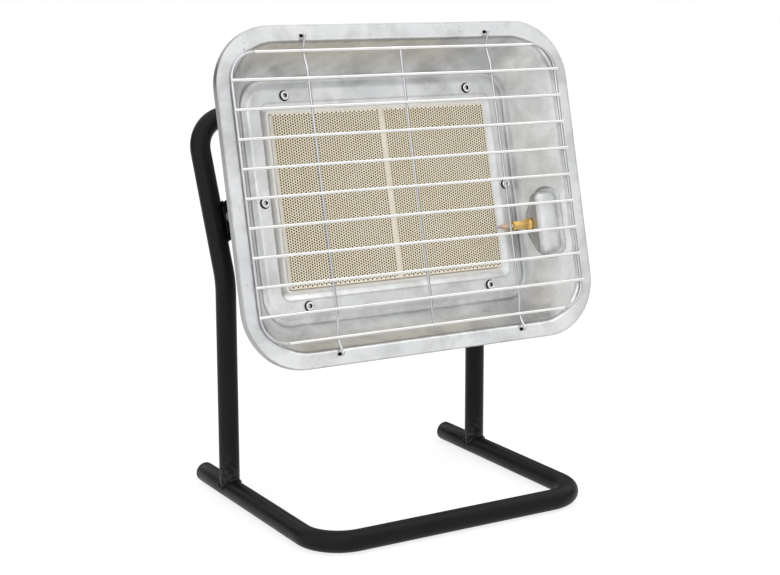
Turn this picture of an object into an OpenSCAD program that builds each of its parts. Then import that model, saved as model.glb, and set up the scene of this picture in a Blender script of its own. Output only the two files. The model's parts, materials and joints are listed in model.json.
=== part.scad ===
// Portable infrared propane heater: a drawn reflector with two ceramic plaques,
// tilting between the leaning uprights of a bent-tube stand.
// Millimetres. X runs across the heater, -Y is its front, +Z is up.
// The origin is on the floor, under the middle of the heater's length and width.

/* [Stand] */
// Outer diameter of the stand's tube
tube_d = 16; // [12:0.5:22]
// Wall of the stand's tube
tube_wall = 1.5; // [1:0.1:2.5]
// Distance between the centre lines of the two rails, and of the two uprights
stand_w = 231; // [220:1:260]
// From the uprights' centre line forward to the front bar's centre line
front_reach = 155.5; // [120:0.5:200]
// From the uprights' centre line back to the ends of the rails
rear_reach = 46.5; // [30:0.5:90]
// Centre-line radius of the base's two front bends
base_bend_r = 30; // [24:1:60]
// Height at which the uprights start to lean
lean_z = 174; // [150:1:220]
// Angle at which the uprights lean back
lean = 23.4; // [18:0.1:28]
// Length of the leaning part, up to the top bar's centre line
lean_len = 133.5; // [120:0.5:170]
// Centre-line radius of the bend where the uprights start to lean
lean_bend_r = 45; // [30:1:70]
// Centre-line radius of the two bends beside the top bar
top_bend_r = 29; // [24:1:50]
// Thickness of the plugs' heads at the rail ends
plug_head = 2.4; // [1.5:0.1:5]
// Length of the plugs' shanks inside the rails
plug_shank = 14; // [8:1:25]

/* [Tilting mount] */
// Tilt of the reflector back from upright, as stored
tilt = 13.7; // [0:0.1:30]
// Distance of the pivot up the leaning part, from where it starts
pivot_up = 47; // [40:0.5:70]
// Distance of the pivot forward of the leaning part's centre line
pivot_fwd = 16; // [14:0.5:26]
// Width of the pivot arms, along the uprights
arm_w = 30; // [20:0.5:40]
// Thickness of the pivot arms
arm_t = 3; // [2:0.1:4]
// How far the arms run on past the pivot
arm_nose = 15; // [10:0.5:22]
// Diameter of the pivot bolts
pivot_d = 6; // [5:0.1:7]
// Distance of the pivot behind the reflector's front face
pivot_depth = 100; // [97:0.5:115]
// Distance of the pivot below the reflector's centre
pivot_drop = 3; // [-10:0.5:10]
// Thickness of the friction washers
washer_t = 1.6; // [1:0.1:3]
// Thickness of the bracket behind the burner
bracket_t = 2.5; // [1.5:0.1:3.5]
// Width of the bracket behind the burner
bracket_w = 24; // [18:0.5:28]
// Reach of the wing nuts' wings from the pivot
wing_reach = 12.5; // [10:0.5:13]

/* [Reflector] */
// Width over the rim
rim_w = 305; // [300:1:340]
// Height over the rim
rim_h = 249.5; // [245:0.5:280]
// Corner radius of the rim
rim_r = 46; // [40:1:56]
// Thickness of the reflector's sheet
sheet_t = 0.8; // [0.6:0.1:1.2]
// Depth of the return lip round the rim
lip_depth = 6; // [4:0.5:10]
// Radius between the flange and its return lip
lip_r = 2.2; // [1.2:0.1:3]
// Width of the flat flange at the two sides
flange_side = 11; // [9:0.5:14]
// Width of the flat flange at the top and bottom
flange_end = 10.5; // [9:0.5:14]
// Radius between the flange and the dish's wall
mouth_r = 3; // [2:0.1:4]
// Depth of the dish at the foot of its wall
dish_depth = 42; // [40:0.5:50]
// Depth of the raised frame round the plaques
frame_depth = 39; // [36:0.5:40]
// Room between the plaques and the window's edge at the two sides
window_side = 8.5; // [6:0.5:12]
// Room between the plaques and the window's edge at the top and bottom
window_end = 8; // [6:0.5:10]
// Corner radius of the window
window_r = 7; // [4:0.5:12]
// Width of the raised frame's flat face
frame_flat = 9.5; // [9:0.1:11]
// Width of the frame's outer slope at the two sides
slope_side = 4.5; // [3:0.1:6]
// Width of the frame's outer slope at the top and bottom
slope_end = 7.5; // [5:0.1:9]
// How far the window's edge slopes back on its way to the plaques
fold_depth = 3.5; // [2:0.1:4.5]
// Room between that edge and the plaques
edge_room = 0.5; // [0.4:0.1:2]
// Height of the pressed dome on the right wall
dome_h = 50.5; // [46:0.5:60]
// Depth of the pressed dome, from front to back
dome_w = 24; // [22:0.5:26]
// Distance of the dome's straight front side behind the rim
dome_front = 10; // [8:0.5:11]
// Radius of the dome's two corners beside that front side
dome_corner = 7; // [6:0.5:9]
// Radius of the dome's bulging rear side
dome_belly = 12; // [10:0.5:12]
// Radius round the dome's flat face
dome_round = 4; // [3:0.1:4.5]
// How far the dome's flat face stands off the middle of the wall
dome_rise = 12.5; // [9:0.1:13.5]
// Distance of the dome's centre below the reflector's centre
dome_drop = 35; // [30:0.5:45]
// Distance of the probe from the dome's rear side
probe_inset = 9.6; // [9.5:0.1:11]
// Diameter of the probe
probe_d = 3.6; // [3:0.1:5]

/* [Guard] */
// Wire of the guard's ring and crosswires
wire_d = 2.4; // [2:0.1:3]
// Wire of the guard's uprights
stay_d = 2; // [1.6:0.1:2.4]
// Width of the guard's ring, between wire centres
ring_w = 281; // [275:0.5:284]
// Height of the guard's ring, between wire centres
ring_h = 209.5; // [205:0.5:212]
// Corner radius of the guard's ring
ring_r = 20; // [12:0.5:30]
// Number of crosswires between the ring's top and bottom
crosswires = 9; // [5:1:9]
// Distance from one crosswire to the next
wire_pitch = 21.1; // [18:0.1:21.2]
// How far the crosswires run past the ring's wire centre
wire_over = 2; // [1.4:0.1:4]
// Distance of the outer uprights from the middle one
stay_gap = 80; // [60:1:95]
// Distance of the hook holes from the flange's outer edge
hook_inset = 7.75; // [5.5:0.05:8]

/* [Burner] */
// Width of a ceramic plaque
tile_w = 92; // [80:0.5:93]
// Height of a ceramic plaque
tile_h = 132; // [120:0.5:134]
// Thickness of a ceramic plaque
tile_t = 13; // [11:0.5:15]
// Width of the joint between the plaques
tile_joint = 4; // [3:0.1:5]
// How far the plaques' faces lie behind the rim
tile_depth = 38; // [36:0.5:39]
// Thickness of the fibre seal round the plaques
seal_t = 2; // [1.5:0.1:3]
// Thickness of the burner casing's sheet
case_t = 1; // [0.8:0.1:1.5]
// Depth of the gas chamber behind the plaques
chamber_depth = 29; // [26:0.5:36]
// Outer diameter of the mixing tube
mixer_d = 20; // [16:0.5:22]
// Height of the mixing tube's centre line above the casing's bottom
mixer_rise = 16; // [14:0.5:24]
// Diameter of the rivets' heads
rivet_head_d = 8.6; // [7:0.1:9]
// Diameter of the rivets' shanks
rivet_d = 4; // [3:0.1:4.2]

/* [Gas valve] */
// Outer diameter of the valve's body
valve_d = 24; // [22:0.5:24]
// Distance of the valve's centre line from the reflector's centre
valve_x = 138; // [136:0.5:140]
// Travel of the push button
button_travel = 5; // [3:0.1:5.2]
// Diameter of the push button
button_d = 14; // [12:0.1:15]
// Diameter of the button's stem
stem_d = 5; // [4:0.1:5.5]
// Major diameter of the gas inlet's thread
inlet_d = 13.16; // [9:0.01:14]
// Length of the gas inlet's thread
inlet_len = 12; // [8:0.5:16]
// Diameter of the thermocouple's lead
lead_d = 2.6; // [2:0.1:3]

/* [Hidden] */

fine = 64;              // facets on round forms, where the form isn't exact anyway
eps = 0.01;             // overlap of cutting tools
seat_gap = 0.1;         // clearance between pieces that seat on each other
run_gap = 0.05;         // radial clearance of a shaft in its bore
body_gap = 0.3;         // side clearance between pieces that move past each other
touch_gap = 0.05;       // clearance of wires that are spot-welded to each other
bend_lap = 0.3;         // lap of a straight tube over the end of a bend
bend_slim = 0.02;       // by how much a tube slims in its bends
fold_gap = 0.15;        // between the window's sloping edge and the casing round it

tube_r = tube_d / 2;
rail_x = stand_w / 2;
top_back = lean_len * sin(lean);
// the uprights' centre line, placed so that the origin is under the middle of the length
post_y = (front_reach - top_back) / 2;
front_y = post_y - front_reach;
rear_y = post_y + rear_reach;
lean_tan = lean_bend_r * tan(lean / 2);

// pivot, in the stand's frame
pivot_y = post_y + pivot_up * sin(lean) - pivot_fwd * cos(lean);
pivot_z = lean_z + pivot_up * cos(lean) + pivot_fwd * sin(lean);

// stack of the tilting mount, from the tube inwards
arm_x = rail_x - tube_r - 2 * seat_gap - arm_t;
ear_x = arm_x - washer_t - seat_gap - body_gap - bracket_t;
wing_x = ear_x - body_gap;

rim_a = rim_w / 2;
rim_b = rim_h / 2;
field_w = 2 * tile_w + tile_joint;
win_a = field_w / 2 + window_side;
win_b = tile_h / 2 + window_end;
mouth_a = rim_a - lip_r - flange_side + 2;
mouth_b = rim_b - lip_r - flange_end + 2;
mouth_corner = rim_r - (rim_b - mouth_b) + 3;
foot_a = win_a + frame_flat + slope_side;
foot_b = win_b + frame_flat + slope_end;
dome_x = (mouth_a + foot_a) / 2 - dome_rise;

case_front = frame_depth + sheet_t + seat_gap;
recess_y = frame_depth + fold_depth + 4;
floor_y = recess_y + case_t;
tile_back = tile_depth + tile_t;
case_a = field_w / 2 + seal_t + 4;
case_b = tile_h / 2 + seal_t + 4;
case_back = tile_back + chamber_depth + case_t;
case_r = 8;
seal_r = 3;
step_a = win_a + sheet_t + fold_gap;
step_b = win_b + sheet_t + fold_gap;
step_r = window_r + sheet_t + fold_gap;

mixer_y = tile_back + chamber_depth / 2 + 1.5;
mixer_z = -case_b + mixer_rise;
mixer_wall = 1;
bell_len = 4;
bell_d = mixer_d + 4;
bell_x = case_a + 8;
cage_wall = 1.2;
cage_end = 2;
cage_x = valve_x - valve_d / 2 - 4;

// heights on the valve's own axis, in the head's frame
valve_bottom = mixer_z - 12;
seat_z = mixer_z + 7;
valve_top = seat_z + 23;
inlet_z = seat_z + 11;
poppet_t = 2.6;
armature_z = seat_z + poppet_t + 4.4;
armature_t = 1.6;
magnet_z = armature_z + armature_t + button_travel + 0.3;
collar_len = 12;
button_top = valve_bottom - button_travel - 0.3;
button_len = 13;
button_wall = 2;
stem_top = seat_z - 0.3;
lead_z = valve_top + 18;

ring_y = -(wire_d / 2 + 0.3);
cross_y = ring_y - wire_d - touch_gap;
stay_y = cross_y + (wire_d + stay_d) / 2 + touch_gap;
dip_y = ring_y + (wire_d + stay_d) / 2 + touch_gap;
guard_rise = 0.5;
hook_z = rim_b - hook_inset;
hook_y = -5;

steel_black = [0.11, 0.11, 0.12];
bare_aluminium = [0.80, 0.80, 0.79];
zinc = [0.86, 0.87, 0.87];
ceramic = [0.85, 0.76, 0.58];
fibre = [0.93, 0.90, 0.83];
brass = [0.80, 0.60, 0.25];
casing_grey = [0.62, 0.62, 0.60];

// ---------- helpers ----------

// moves a piece from the head's frame (X across, Y behind the rim, Z up the reflector)
module in_head() {
    translate([0, pivot_y, pivot_z]) rotate([-tilt, 0, 0])
        translate([0, -pivot_depth, pivot_drop]) children();
}

// moves a piece to the leaning part of the uprights: origin where it starts, Z up along it
module in_lean() {
    translate([0, post_y, lean_z]) rotate([-lean, 0, 0]) children();
}

module both_sides() {
    children();
    mirror([1, 0, 0]) children();
}

// flat outline with four round corners
module round_rect(a, b, r) {
    square([2 * a, 2 * (b - r)], center = true);
    square([2 * (a - r), 2 * b], center = true);
    for (x = [-1, 1], z = [-1, 1])
        translate([x * (a - r), z * (b - r)]) circle(r = r, $fn = fine);
}

// a round-cornered plate that faces the front, from depth y0 to y1
module plate_y(a, b, r, y0, y1) {
    translate([0, y1, 0]) rotate([90, 0, 0]) linear_extrude(y1 - y0) round_rect(a, b, r);
}

// a cylinder along +X, +Y or +Z from a point
module rod_x(p, len, r) {
    translate(p) rotate([0, 90, 0]) cylinder(h = len, r = r, $fn = fine);
}

module rod_y(p, len, r) {
    translate(p) rotate([-90, 0, 0]) cylinder(h = len, r = r, $fn = fine);
}

module rod_z(p, len, r) {
    translate(p) cylinder(h = len, r = r, $fn = fine);
}

// hexagon bar along +Z, by its width across flats
module hex_bar(flats, len) {
    cylinder(h = len, d = flats / cos(30), $fn = 6);
}

// the points of a path with each inner corner rounded over a length
function rounded(p, reach, steps = 4) = concat(
    [p[0]],
    [for (i = [1 : len(p) - 2])
        let (cut = min(reach, norm(p[i] - p[i - 1]) * 0.45, norm(p[i + 1] - p[i]) * 0.45),
            a = p[i] + unit(p[i - 1] - p[i]) * cut,
            b = p[i] + unit(p[i + 1] - p[i]) * cut)
        for (k = [0 : steps]) let (t = k / steps)
            (1 - t) * (1 - t) * a + 2 * t * (1 - t) * p[i] + t * t * b],
    [p[len(p) - 1]]);

// a coil of round wire along +Z, as one swept skin
module coil(mean_r, wire_r, turns, height, around = 14, sides = 6) {
    rings = turns * around;
    steps = [for (i = [0 : rings]) let (a = 360 * i / around, rise = height * i / rings)
        [for (k = [0 : sides - 1]) let (b = 360 * k / sides, rr = mean_r + wire_r * cos(b))
            [rr * cos(a), rr * sin(a), rise + wire_r * sin(b)]]];
    skin(steps, false);
}

// joins rings of equal length into a solid; a closed run has no end caps
module skin(rings, closed) {
    m = len(rings);
    p = len(rings[0]);
    last = closed ? m - 1 : m - 2;
    sides = [for (i = [0 : last], j = [0 : p - 1]) let (n = (i + 1) % m, q = (j + 1) % p)
        each [[i * p + j, n * p + j, n * p + q], [i * p + j, n * p + q, i * p + q]]];
    caps = closed ? [] : [
        [for (j = [0 : p - 1]) j],
        [for (j = [p - 1 : -1 : 0]) (m - 1) * p + j]];
    polyhedron([for (ring = rings) each ring], concat(sides, caps));
}

// points on a smooth curve through hand-picked ones
function on_curve(p, i, t) =
    let (a = p[max(i - 1, 0)], b = p[i], c = p[i + 1], d = p[min(i + 2, len(p) - 1)])
    0.5 * (2 * b + (c - a) * t + (2 * a - 5 * b + 4 * c - d) * t * t
        + (3 * b - a - 3 * c + d) * t * t * t);

function smooth(p, steps) = concat(
    [for (i = [0 : len(p) - 2], k = [0 : steps - 1]) on_curve(p, i, k / steps)],
    [p[len(p) - 1]]);

function unit(v) = v / norm(v);

// rings round a path: each is square to the path at its point
module tube_along(path, r, sides = 8) {
    n = len(path);
    rings = [for (i = [0 : n - 1]) let (
            along = unit(path[min(i + 1, n - 1)] - path[max(i - 1, 0)]),
            side = unit(cross(along, [0.3, 0.2, 1])),
            up = cross(along, side))
        [for (k = [0 : sides - 1]) path[i] + r * (cos(360 * k / sides) * side
            + sin(360 * k / sides) * up)]];
    skin(rings, false);
}

// ---------- stand ----------

// a straight length of the stand's tube along +Z
module pipe(from, to) {
    translate([0, 0, from]) difference() {
        cylinder(h = to - from, r = tube_r, $fn = fine);
        translate([0, 0, -1]) cylinder(h = to - from + 2, r = tube_r - tube_wall, $fn = fine);
    }
}

// a bend of the stand's tube round the origin, from +X towards +Y, a hair slimmer than the
// straight lengths, which lap over its ends
module pipe_bend(bend_r, angle) {
    rotate_extrude(angle = angle, $fn = fine) translate([bend_r, 0]) difference() {
        circle(r = tube_r - bend_slim, $fn = fine);
        circle(r = tube_r - tube_wall + bend_slim, $fn = fine);
    }
}

module base_tube() {
    bend_x = rail_x - base_bend_r;
    bend_y = front_y + base_bend_r;
    color(steel_black) translate([0, 0, tube_r]) {
        for (s = [-1, 1]) translate([s * rail_x, 0, 0]) rotate([-90, 0, 0])
            pipe(bend_y - bend_lap, rear_y);
        translate([bend_x, bend_y, 0]) rotate([0, 0, -90]) pipe_bend(base_bend_r, 90);
        translate([-bend_x, bend_y, 0]) rotate([0, 0, 180]) pipe_bend(base_bend_r, 90);
        translate([0, front_y, 0]) rotate([0, 90, 0]) pipe(-bend_x - bend_lap, bend_x + bend_lap);
    }
}

module base_end_plugs() {
    bore_r = tube_r - tube_wall - seat_gap;
    color([0.07, 0.07, 0.07]) both_sides() translate([rail_x, rear_y + seat_gap, tube_r])
        rotate([-90, 0, 0]) {
            rotate_extrude($fn = fine) intersection() {
                translate([0, -plug_head * 2]) square([tube_r, plug_head * 3]);
                translate([0, -tube_r * 2]) circle(r = tube_r * 2 + plug_head, $fn = 180);
                translate([0, 0]) square([tube_r, plug_head]);
            }
            translate([0, 0, -plug_shank]) cylinder(h = plug_shank, r = bore_r, $fn = fine);
        }
}

module upright_tube() {
    bend_x = rail_x - top_bend_r;
    bend_z = lean_len - top_bend_r;
    color(steel_black) {
        for (s = [-1, 1]) translate([s * rail_x, 0, 0]) {
            difference() {
                translate([0, post_y, 0]) pipe(tube_r, lean_z - lean_tan + bend_lap);
                // saddle that sits on the rail
                rod_y([0, post_y - tube_d, tube_r], 2 * tube_d, tube_r + seat_gap);
            }
            translate([0, post_y + lean_bend_r, lean_z - lean_tan]) rotate([90, 0, -90])
                pipe_bend(lean_bend_r, lean);
            in_lean() pipe(lean_tan - bend_lap, bend_z + bend_lap);
        }
        in_lean() {
            translate([bend_x, 0, bend_z]) rotate([90, 0, 0]) pipe_bend(top_bend_r, 90);
            translate([-bend_x, 0, bend_z]) rotate([90, -90, 0]) pipe_bend(top_bend_r, 90);
            translate([0, 0, lean_len]) rotate([0, 90, 0]) pipe(-bend_x - bend_lap, bend_x + bend_lap);
        }
    }
}

// one flat arm beside the upright, with the pivot's hole
module pivot_arm() {
    nose_r = 9;
    back = tube_r - 2;
    color(steel_black) in_lean() difference() {
        translate([arm_x, 0, pivot_up]) rotate([0, 90, 0]) linear_extrude(arm_t)
            translate([0, -pivot_fwd]) union() {
                translate([-arm_w / 2, -arm_nose + nose_r])
                    square([arm_w, arm_nose + pivot_fwd + back - nose_r]);
                translate([-arm_w / 2 + nose_r, -arm_nose]) square([arm_w - 2 * nose_r, 2 * nose_r]);
                for (s = [-1, 1])
                    translate([s * (arm_w / 2 - nose_r), -arm_nose + nose_r]) circle(r = nose_r, $fn = fine);
            }
        rod_x([arm_x - 1, -pivot_fwd, pivot_up], arm_t + 2, pivot_d / 2 + run_gap);
    }
}

module pivot_arm_right() {
    pivot_arm();
}

module pivot_arm_left() {
    mirror([1, 0, 0]) pivot_arm();
}

// button-headed bolts, heads outside the arms
module pivot_bolts() {
    head_r = pivot_d * 0.9;
    head_t = pivot_d * 0.6;
    tip_x = wing_x - 11;
    color(zinc) both_sides() translate([0, pivot_y, pivot_z]) {
        rod_x([tip_x, 0, 0], arm_x + arm_t - tip_x, pivot_d / 2);
        translate([arm_x + arm_t, 0, 0]) rotate([0, 90, 0]) rotate_extrude($fn = fine) intersection() {
            translate([0, seat_gap]) square([head_r, head_t]);
            translate([0, -head_r * 0.9]) circle(r = head_r * 0.9 + head_t, $fn = 96);
        }
        rod_x([arm_x + arm_t - eps, 0, 0], seat_gap + 2 * eps, pivot_d / 2);
    }
}

module friction_washers() {
    color([0.25, 0.22, 0.2]) both_sides() translate([0, pivot_y, pivot_z]) difference() {
        rod_x([arm_x - seat_gap - washer_t, 0, 0], washer_t, pivot_d * 1.5);
        rod_x([arm_x - washer_t - 1, 0, 0], washer_t + 2, pivot_d / 2 + 0.15);
    }
}

// wing nut on the inner end of the right-hand bolt
module wing_nut() {
    hub_r = pivot_d;
    hub_len = 7;
    wing_r = 5;
    wing_t = 2;
    color(zinc) translate([wing_x, pivot_y, pivot_z]) rotate([0, -90, 0]) difference() {
        union() {
            cylinder(h = hub_len, r = hub_r, $fn = fine);
            for (s = [0, 180]) rotate([0, 0, s + 25]) {
                translate([wing_reach - wing_r, wing_t / 2, hub_len]) rotate([90, 0, 0])
                    cylinder(h = wing_t, r = wing_r, $fn = fine);
                translate([0, -wing_t / 2, 1]) cube([wing_reach - wing_r, wing_t, hub_len]);
            }
        }
        translate([0, 0, -1]) cylinder(h = hub_len + wing_r + 3, r = pivot_d / 2 + run_gap, $fn = fine);
    }
}

module wing_nut_right() {
    wing_nut();
}

module wing_nut_left() {
    mirror([1, 0, 0]) wing_nut();
}

// ---------- reflector ----------

// the sheet's front face, from the lip's edge to the edge beside the plaques, as
// [half width, half height, corner radius, depth]
function lip_station(k) =
    let (cut = lip_r * (1 - cos(k * 30)))
    [rim_a - cut, rim_b - cut, rim_r - cut, lip_r * (1 - sin(k * 30))];

function mouth_station(k) =
    let (cut = mouth_r * sin(k * 22.5))
    [mouth_a - cut, mouth_b - cut, mouth_corner - cut, mouth_r * (1 - cos(k * 22.5))];

foot_r = 20;
flat_r = 16;
edge_r = 2;
foot_station = [foot_a + 2.2, foot_b + 2.2, foot_r + 2.5, dish_depth - 3];
// the wall between its two rounded ends, with the corners swelling a little
wall_station = foot_station * 0.64 + mouth_station(4) * 0.36 + [0, 0, 2.5, 0];

front_face = concat(
    [[rim_a, rim_b, rim_r, lip_depth]],
    [for (k = [0 : 3]) lip_station(k)],
    [for (k = [0 : 3]) mouth_station(k)],
    [
        wall_station,
        foot_station,
        [foot_a + 0.4, foot_b + 0.4, foot_r + 0.5, dish_depth - 0.4],
        [foot_a - 1.2, foot_b - 1.6, foot_r - 1, dish_depth - 0.2],
        [win_a + frame_flat + 0.8, win_b + frame_flat + 1.2, flat_r + 0.5, frame_depth + 0.4],
        [win_a + frame_flat - 0.6, win_b + frame_flat - 0.6, flat_r - 0.5, frame_depth],
        [win_a + 0.8, win_b + 0.8, window_r + 0.8, frame_depth],
        [win_a - 0.5, win_b - 0.5, window_r - 0.3, frame_depth + 0.25],
        [field_w / 2 + edge_room, tile_h / 2 + edge_room, edge_r, frame_depth + fold_depth]
    ]);

// direction from the front face to the back face at a station
function back_dir(s, i) =
    let (p = s[max(i - 1, 0)], n = s[min(i + 1, len(s) - 1)], run = unit([n[0] - p[0], n[3] - p[3]]))
    [run[1], -run[0]];

function offset_station(s, i, t) =
    let (d = back_dir(s, i))
    [s[i][0] + d[0] * t, s[i][1] + d[0] * t, s[i][2] + d[0] * t, s[i][3] + d[1] * t];

function rect_ring(s, per_corner) = [
    for (c = [0 : 3], k = [0 : per_corner])
        let (a = 90 * c + 90 * k / per_corner,
            cx = (c == 0 || c == 3) ? s[0] - s[2] : s[2] - s[0],
            cz = (c < 2) ? s[1] - s[2] : s[2] - s[1])
        [cx + s[2] * cos(a), s[3], cz + s[2] * sin(a)]];

// the drawn sheet, a closed skin with the sheet's thickness
module drawn_sheet(per_corner = 8) {
    n = len(front_face);
    back_face = [for (i = [n - 1 : -1 : 0]) offset_station(front_face, i, sheet_t)];
    skin([for (s = concat(front_face, back_face)) rect_ring(s, per_corner)], true);
}

// pressed dome on the right wall; inset shrinks it by the sheet's thickness
module dome(inset, reach) {
    round_r = dome_round - inset;
    steps = concat(
        [for (a = [0 : 22.5 : 90]) [inset + round_r * (1 - cos(a)), inset + round_r * (1 - sin(a))]],
        [[reach, inset]]);
    corner_up = dome_h / 2 - dome_corner;
    belly_r = min(dome_belly, dome_w / 2);
    discs = [
        [dome_front + dome_corner, -corner_up, dome_corner],
        [dome_front + dome_corner, corner_up, dome_corner],
        [dome_front + dome_w - belly_r, 0, belly_r]
    ];
    hull() for (s = steps, d = discs)
        translate([dome_x + s[0], d[0], d[1] - dome_drop]) rotate([0, 90, 0])
            cylinder(h = 0.1, r = d[2] - s[1], $fn = 36);
}

// everything on the inner side of the right wall's back face
module inside_right_wall() {
    mouth = mouth_station(3);
    slope = atan2(mouth[0] - foot_station[0], foot_station[3] - mouth[3]);
    translate([foot_station[0] + sheet_t * cos(slope) * 0.9, foot_station[3], 0]) rotate([0, 0, slope])
        translate([-rim_a / 2, -2 * dish_depth, -rim_b]) cube([rim_a / 2, 3 * dish_depth, rim_h]);
}

// centres of the rivets on the raised frame
function rivet_points() =
    let (x = win_a + frame_flat / 2, z = win_b + frame_flat / 2 + 0.5, near = win_a - 21.5)
    [[-near, z], [near, z], [-x, 0], [x, 0], [-near, -z], [near, -z]];

module reflector() {
    hook_room = 0.9;
    color(bare_aluminium) in_head() difference() {
        union() {
            drawn_sheet();
            intersection() {
                dome(0, 22);
                inside_right_wall();
            }
        }
        dome(sheet_t, 24);
        rod_x([dome_x - 2, tc_y, tc_z], 5, tc_thread / 2 + 2 * seat_gap);
        for (p = rivet_points())
            rod_y([p[0], frame_depth - 1, p[1]], 4, rivet_d / 2 + seat_gap);
        for (x = [-1, 1], z = [-1, 1])
            rod_y([x * stay_gap, -1, z * hook_z], 4, stay_d / 2 + hook_room);
    }
}

// ---------- burner ----------

module burner_casing() {
    color(casing_grey) in_head() difference() {
        union() {
            plate_y(win_a + frame_flat - 1, win_b + frame_flat - 1, 14, case_front, case_front + case_t);
            plate_y(step_a + case_t, step_b + case_t, step_r + case_t, case_front, floor_y);
            plate_y(case_a, case_b, case_r, recess_y, case_back);
        }
        plate_y(step_a, step_b, step_r, case_front - 1, recess_y);
        plate_y(field_w / 2 + seal_t, tile_h / 2 + seal_t, seal_r, recess_y - 1, floor_y + 1);
        plate_y(case_a - case_t, case_b - case_t, case_r - case_t, floor_y, case_back - case_t);
        for (p = rivet_points())
            rod_y([p[0], case_front - 1, p[1]], case_t + 2, rivet_d / 2 + seat_gap);
        rod_x([case_a - case_t - 1, mixer_y, mixer_z], case_t + 2, mixer_d / 2 + seat_gap);
        for (x = screw_xs())
            rod_y([x, case_back - case_t - 1, -pivot_drop], case_t + 2, 2.1);
    }
}

// hollow rivets: domed head in front, formed end behind the casing's flange
module casing_rivets() {
    head_t = 1.7;
    grip = sheet_t + case_t + 2 * seat_gap;
    hole_r = 1.2;
    tail_r = 2.7;
    color(zinc) in_head() for (p = rivet_points())
        translate([p[0], frame_depth - seat_gap, p[1]]) rotate([-90, 0, 0]) rotate_extrude($fn = fine)
            difference() {
                union() {
                    intersection() {
                        translate([0, -head_t]) square([rivet_head_d / 2, head_t]);
                        translate([0, 5]) circle(r = 5 + head_t, $fn = 96);
                    }
                    translate([0, -0.5]) square([rivet_d / 2, grip + 2.3]);
                    translate([0, grip + seat_gap]) square([tail_r, 1.8]);
                }
                translate([-1, -3]) square([1 + hole_r, 5.2]);
            }
}

// a plaque with a narrow plain margin raised off its perforated field
module tile(x0) {
    margin = 1.2;
    color(ceramic) in_head() difference() {
        translate([x0, tile_depth, -tile_h / 2]) cube([tile_w, tile_t, tile_h]);
        translate([x0 + margin, tile_depth - 1, margin - tile_h / 2])
            cube([tile_w - 2 * margin, 1.15, tile_h - 2 * margin]);
    }
}

module tile_left() {
    tile(-tile_joint / 2 - tile_w);
}

module tile_right() {
    tile(tile_joint / 2);
}

module tile_joint_strip() {
    recess = 0.5;
    color(fibre) in_head() translate([-tile_joint / 2 + seat_gap, tile_depth + recess, -tile_h / 2])
        cube([tile_joint - 2 * seat_gap, tile_t - recess, tile_h]);
}

module tile_seal() {
    color(fibre) in_head() difference() {
        plate_y(field_w / 2 + seal_t - seat_gap, tile_h / 2 + seal_t - seat_gap, seal_r - seat_gap,
            frame_depth + fold_depth + sheet_t + 0.3, tile_back);
        translate([-field_w / 2 - seat_gap, frame_depth, -tile_h / 2 - seat_gap])
            cube([field_w + 2 * seat_gap, tile_t + 2, tile_h + 2 * seat_gap]);
    }
}

// angle frame that carries the plaques from behind, with a bar under their joint
module tile_rest() {
    bar = 8;
    land = 5;
    color(casing_grey) in_head() difference() {
        plate_y(case_a - case_t - seat_gap, case_b - case_t - seat_gap, case_r - case_t - seat_gap,
            tile_back + seat_gap, tile_back + 5);
        plate_y(case_a - case_t - 1.2, case_b - case_t - 1.2, 5.5, tile_back + 1.2, tile_back + 6);
        for (s = [-1, 1]) {
            open_w = (field_w - bar) / 2 - land;
            translate([s * (bar / 2 + open_w / 2) - open_w / 2, tile_back - 1, -tile_h / 2 + land])
                cube([open_w, 8, tile_h - 2 * land]);
        }
    }
}

// mixing tube with its bell mouth outside the casing and a collar on the casing's wall
module mixing_tube() {
    inner_end = -case_a * 0.75;
    r = mixer_d / 2;
    color([0.7, 0.7, 0.68]) in_head() translate([0, mixer_y, mixer_z]) rotate([0, 90, 0])
        rotate_extrude($fn = fine) polygon([
            [r - mixer_wall, inner_end], [r, inner_end],
            [r, case_a + seat_gap], [r + 4, case_a + seat_gap], [r + 4, case_a + seat_gap + 1.5],
            [r, case_a + seat_gap + 1.5], [r, bell_x - bell_len], [bell_d / 2, bell_x],
            [bell_d / 2 - mixer_wall, bell_x], [r - mixer_wall, bell_x - bell_len]]);
}

// cage that carries the injector in front of the bell, open to the air at four windows
module injector_cage() {
    bore_r = bell_d / 2 + seat_gap;
    start = bell_x - 2.5;
    window_x = bell_x + 1.5;
    window_len = cage_x - cage_end - 1.5 - window_x;
    color(zinc) in_head() translate([0, mixer_y, mixer_z]) difference() {
        rod_x([start, 0, 0], cage_x - start, bore_r + cage_wall);
        rod_x([start - 1, 0, 0], cage_x - cage_end - start + 1, bore_r);
        rod_x([cage_x - cage_end - 1, 0, 0], cage_end + 2, 4 + run_gap);
        for (a = [0 : 90 : 270]) rotate([a + 45, 0, 0])
            translate([window_x, -4.5, 0]) cube([window_len, 9, bore_r + 4]);
    }
}

// brass jet: nozzle, hexagon and a thread through the cage into the valve
module injector() {
    nozzle_len = 6;
    hex_len = 4;
    thread_len = cage_end + 8;
    face = cage_x - cage_end - seat_gap;
    color(brass) in_head() translate([face, mixer_y, mixer_z]) rotate([0, 90, 0]) difference() {
        union() {
            translate([0, 0, -hex_len]) hex_bar(10, hex_len);
            translate([0, 0, -hex_len - nozzle_len]) cylinder(h = nozzle_len, r1 = 2, r2 = 4, $fn = fine);
            cylinder(h = thread_len, r = 4, $fn = fine);
        }
        translate([0, 0, -hex_len]) cylinder(h = thread_len + hex_len + 1, r = 2, $fn = fine);
        translate([0, 0, -hex_len - nozzle_len - 1]) cylinder(h = nozzle_len + 2, r = 0.5, $fn = fine);
    }
}

// ---------- flame-failure valve ----------

module at_valve() {
    in_head() translate([valve_x, mixer_y, 0]) children();
}

chamber_r = valve_d / 2 - 3.8;

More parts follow.
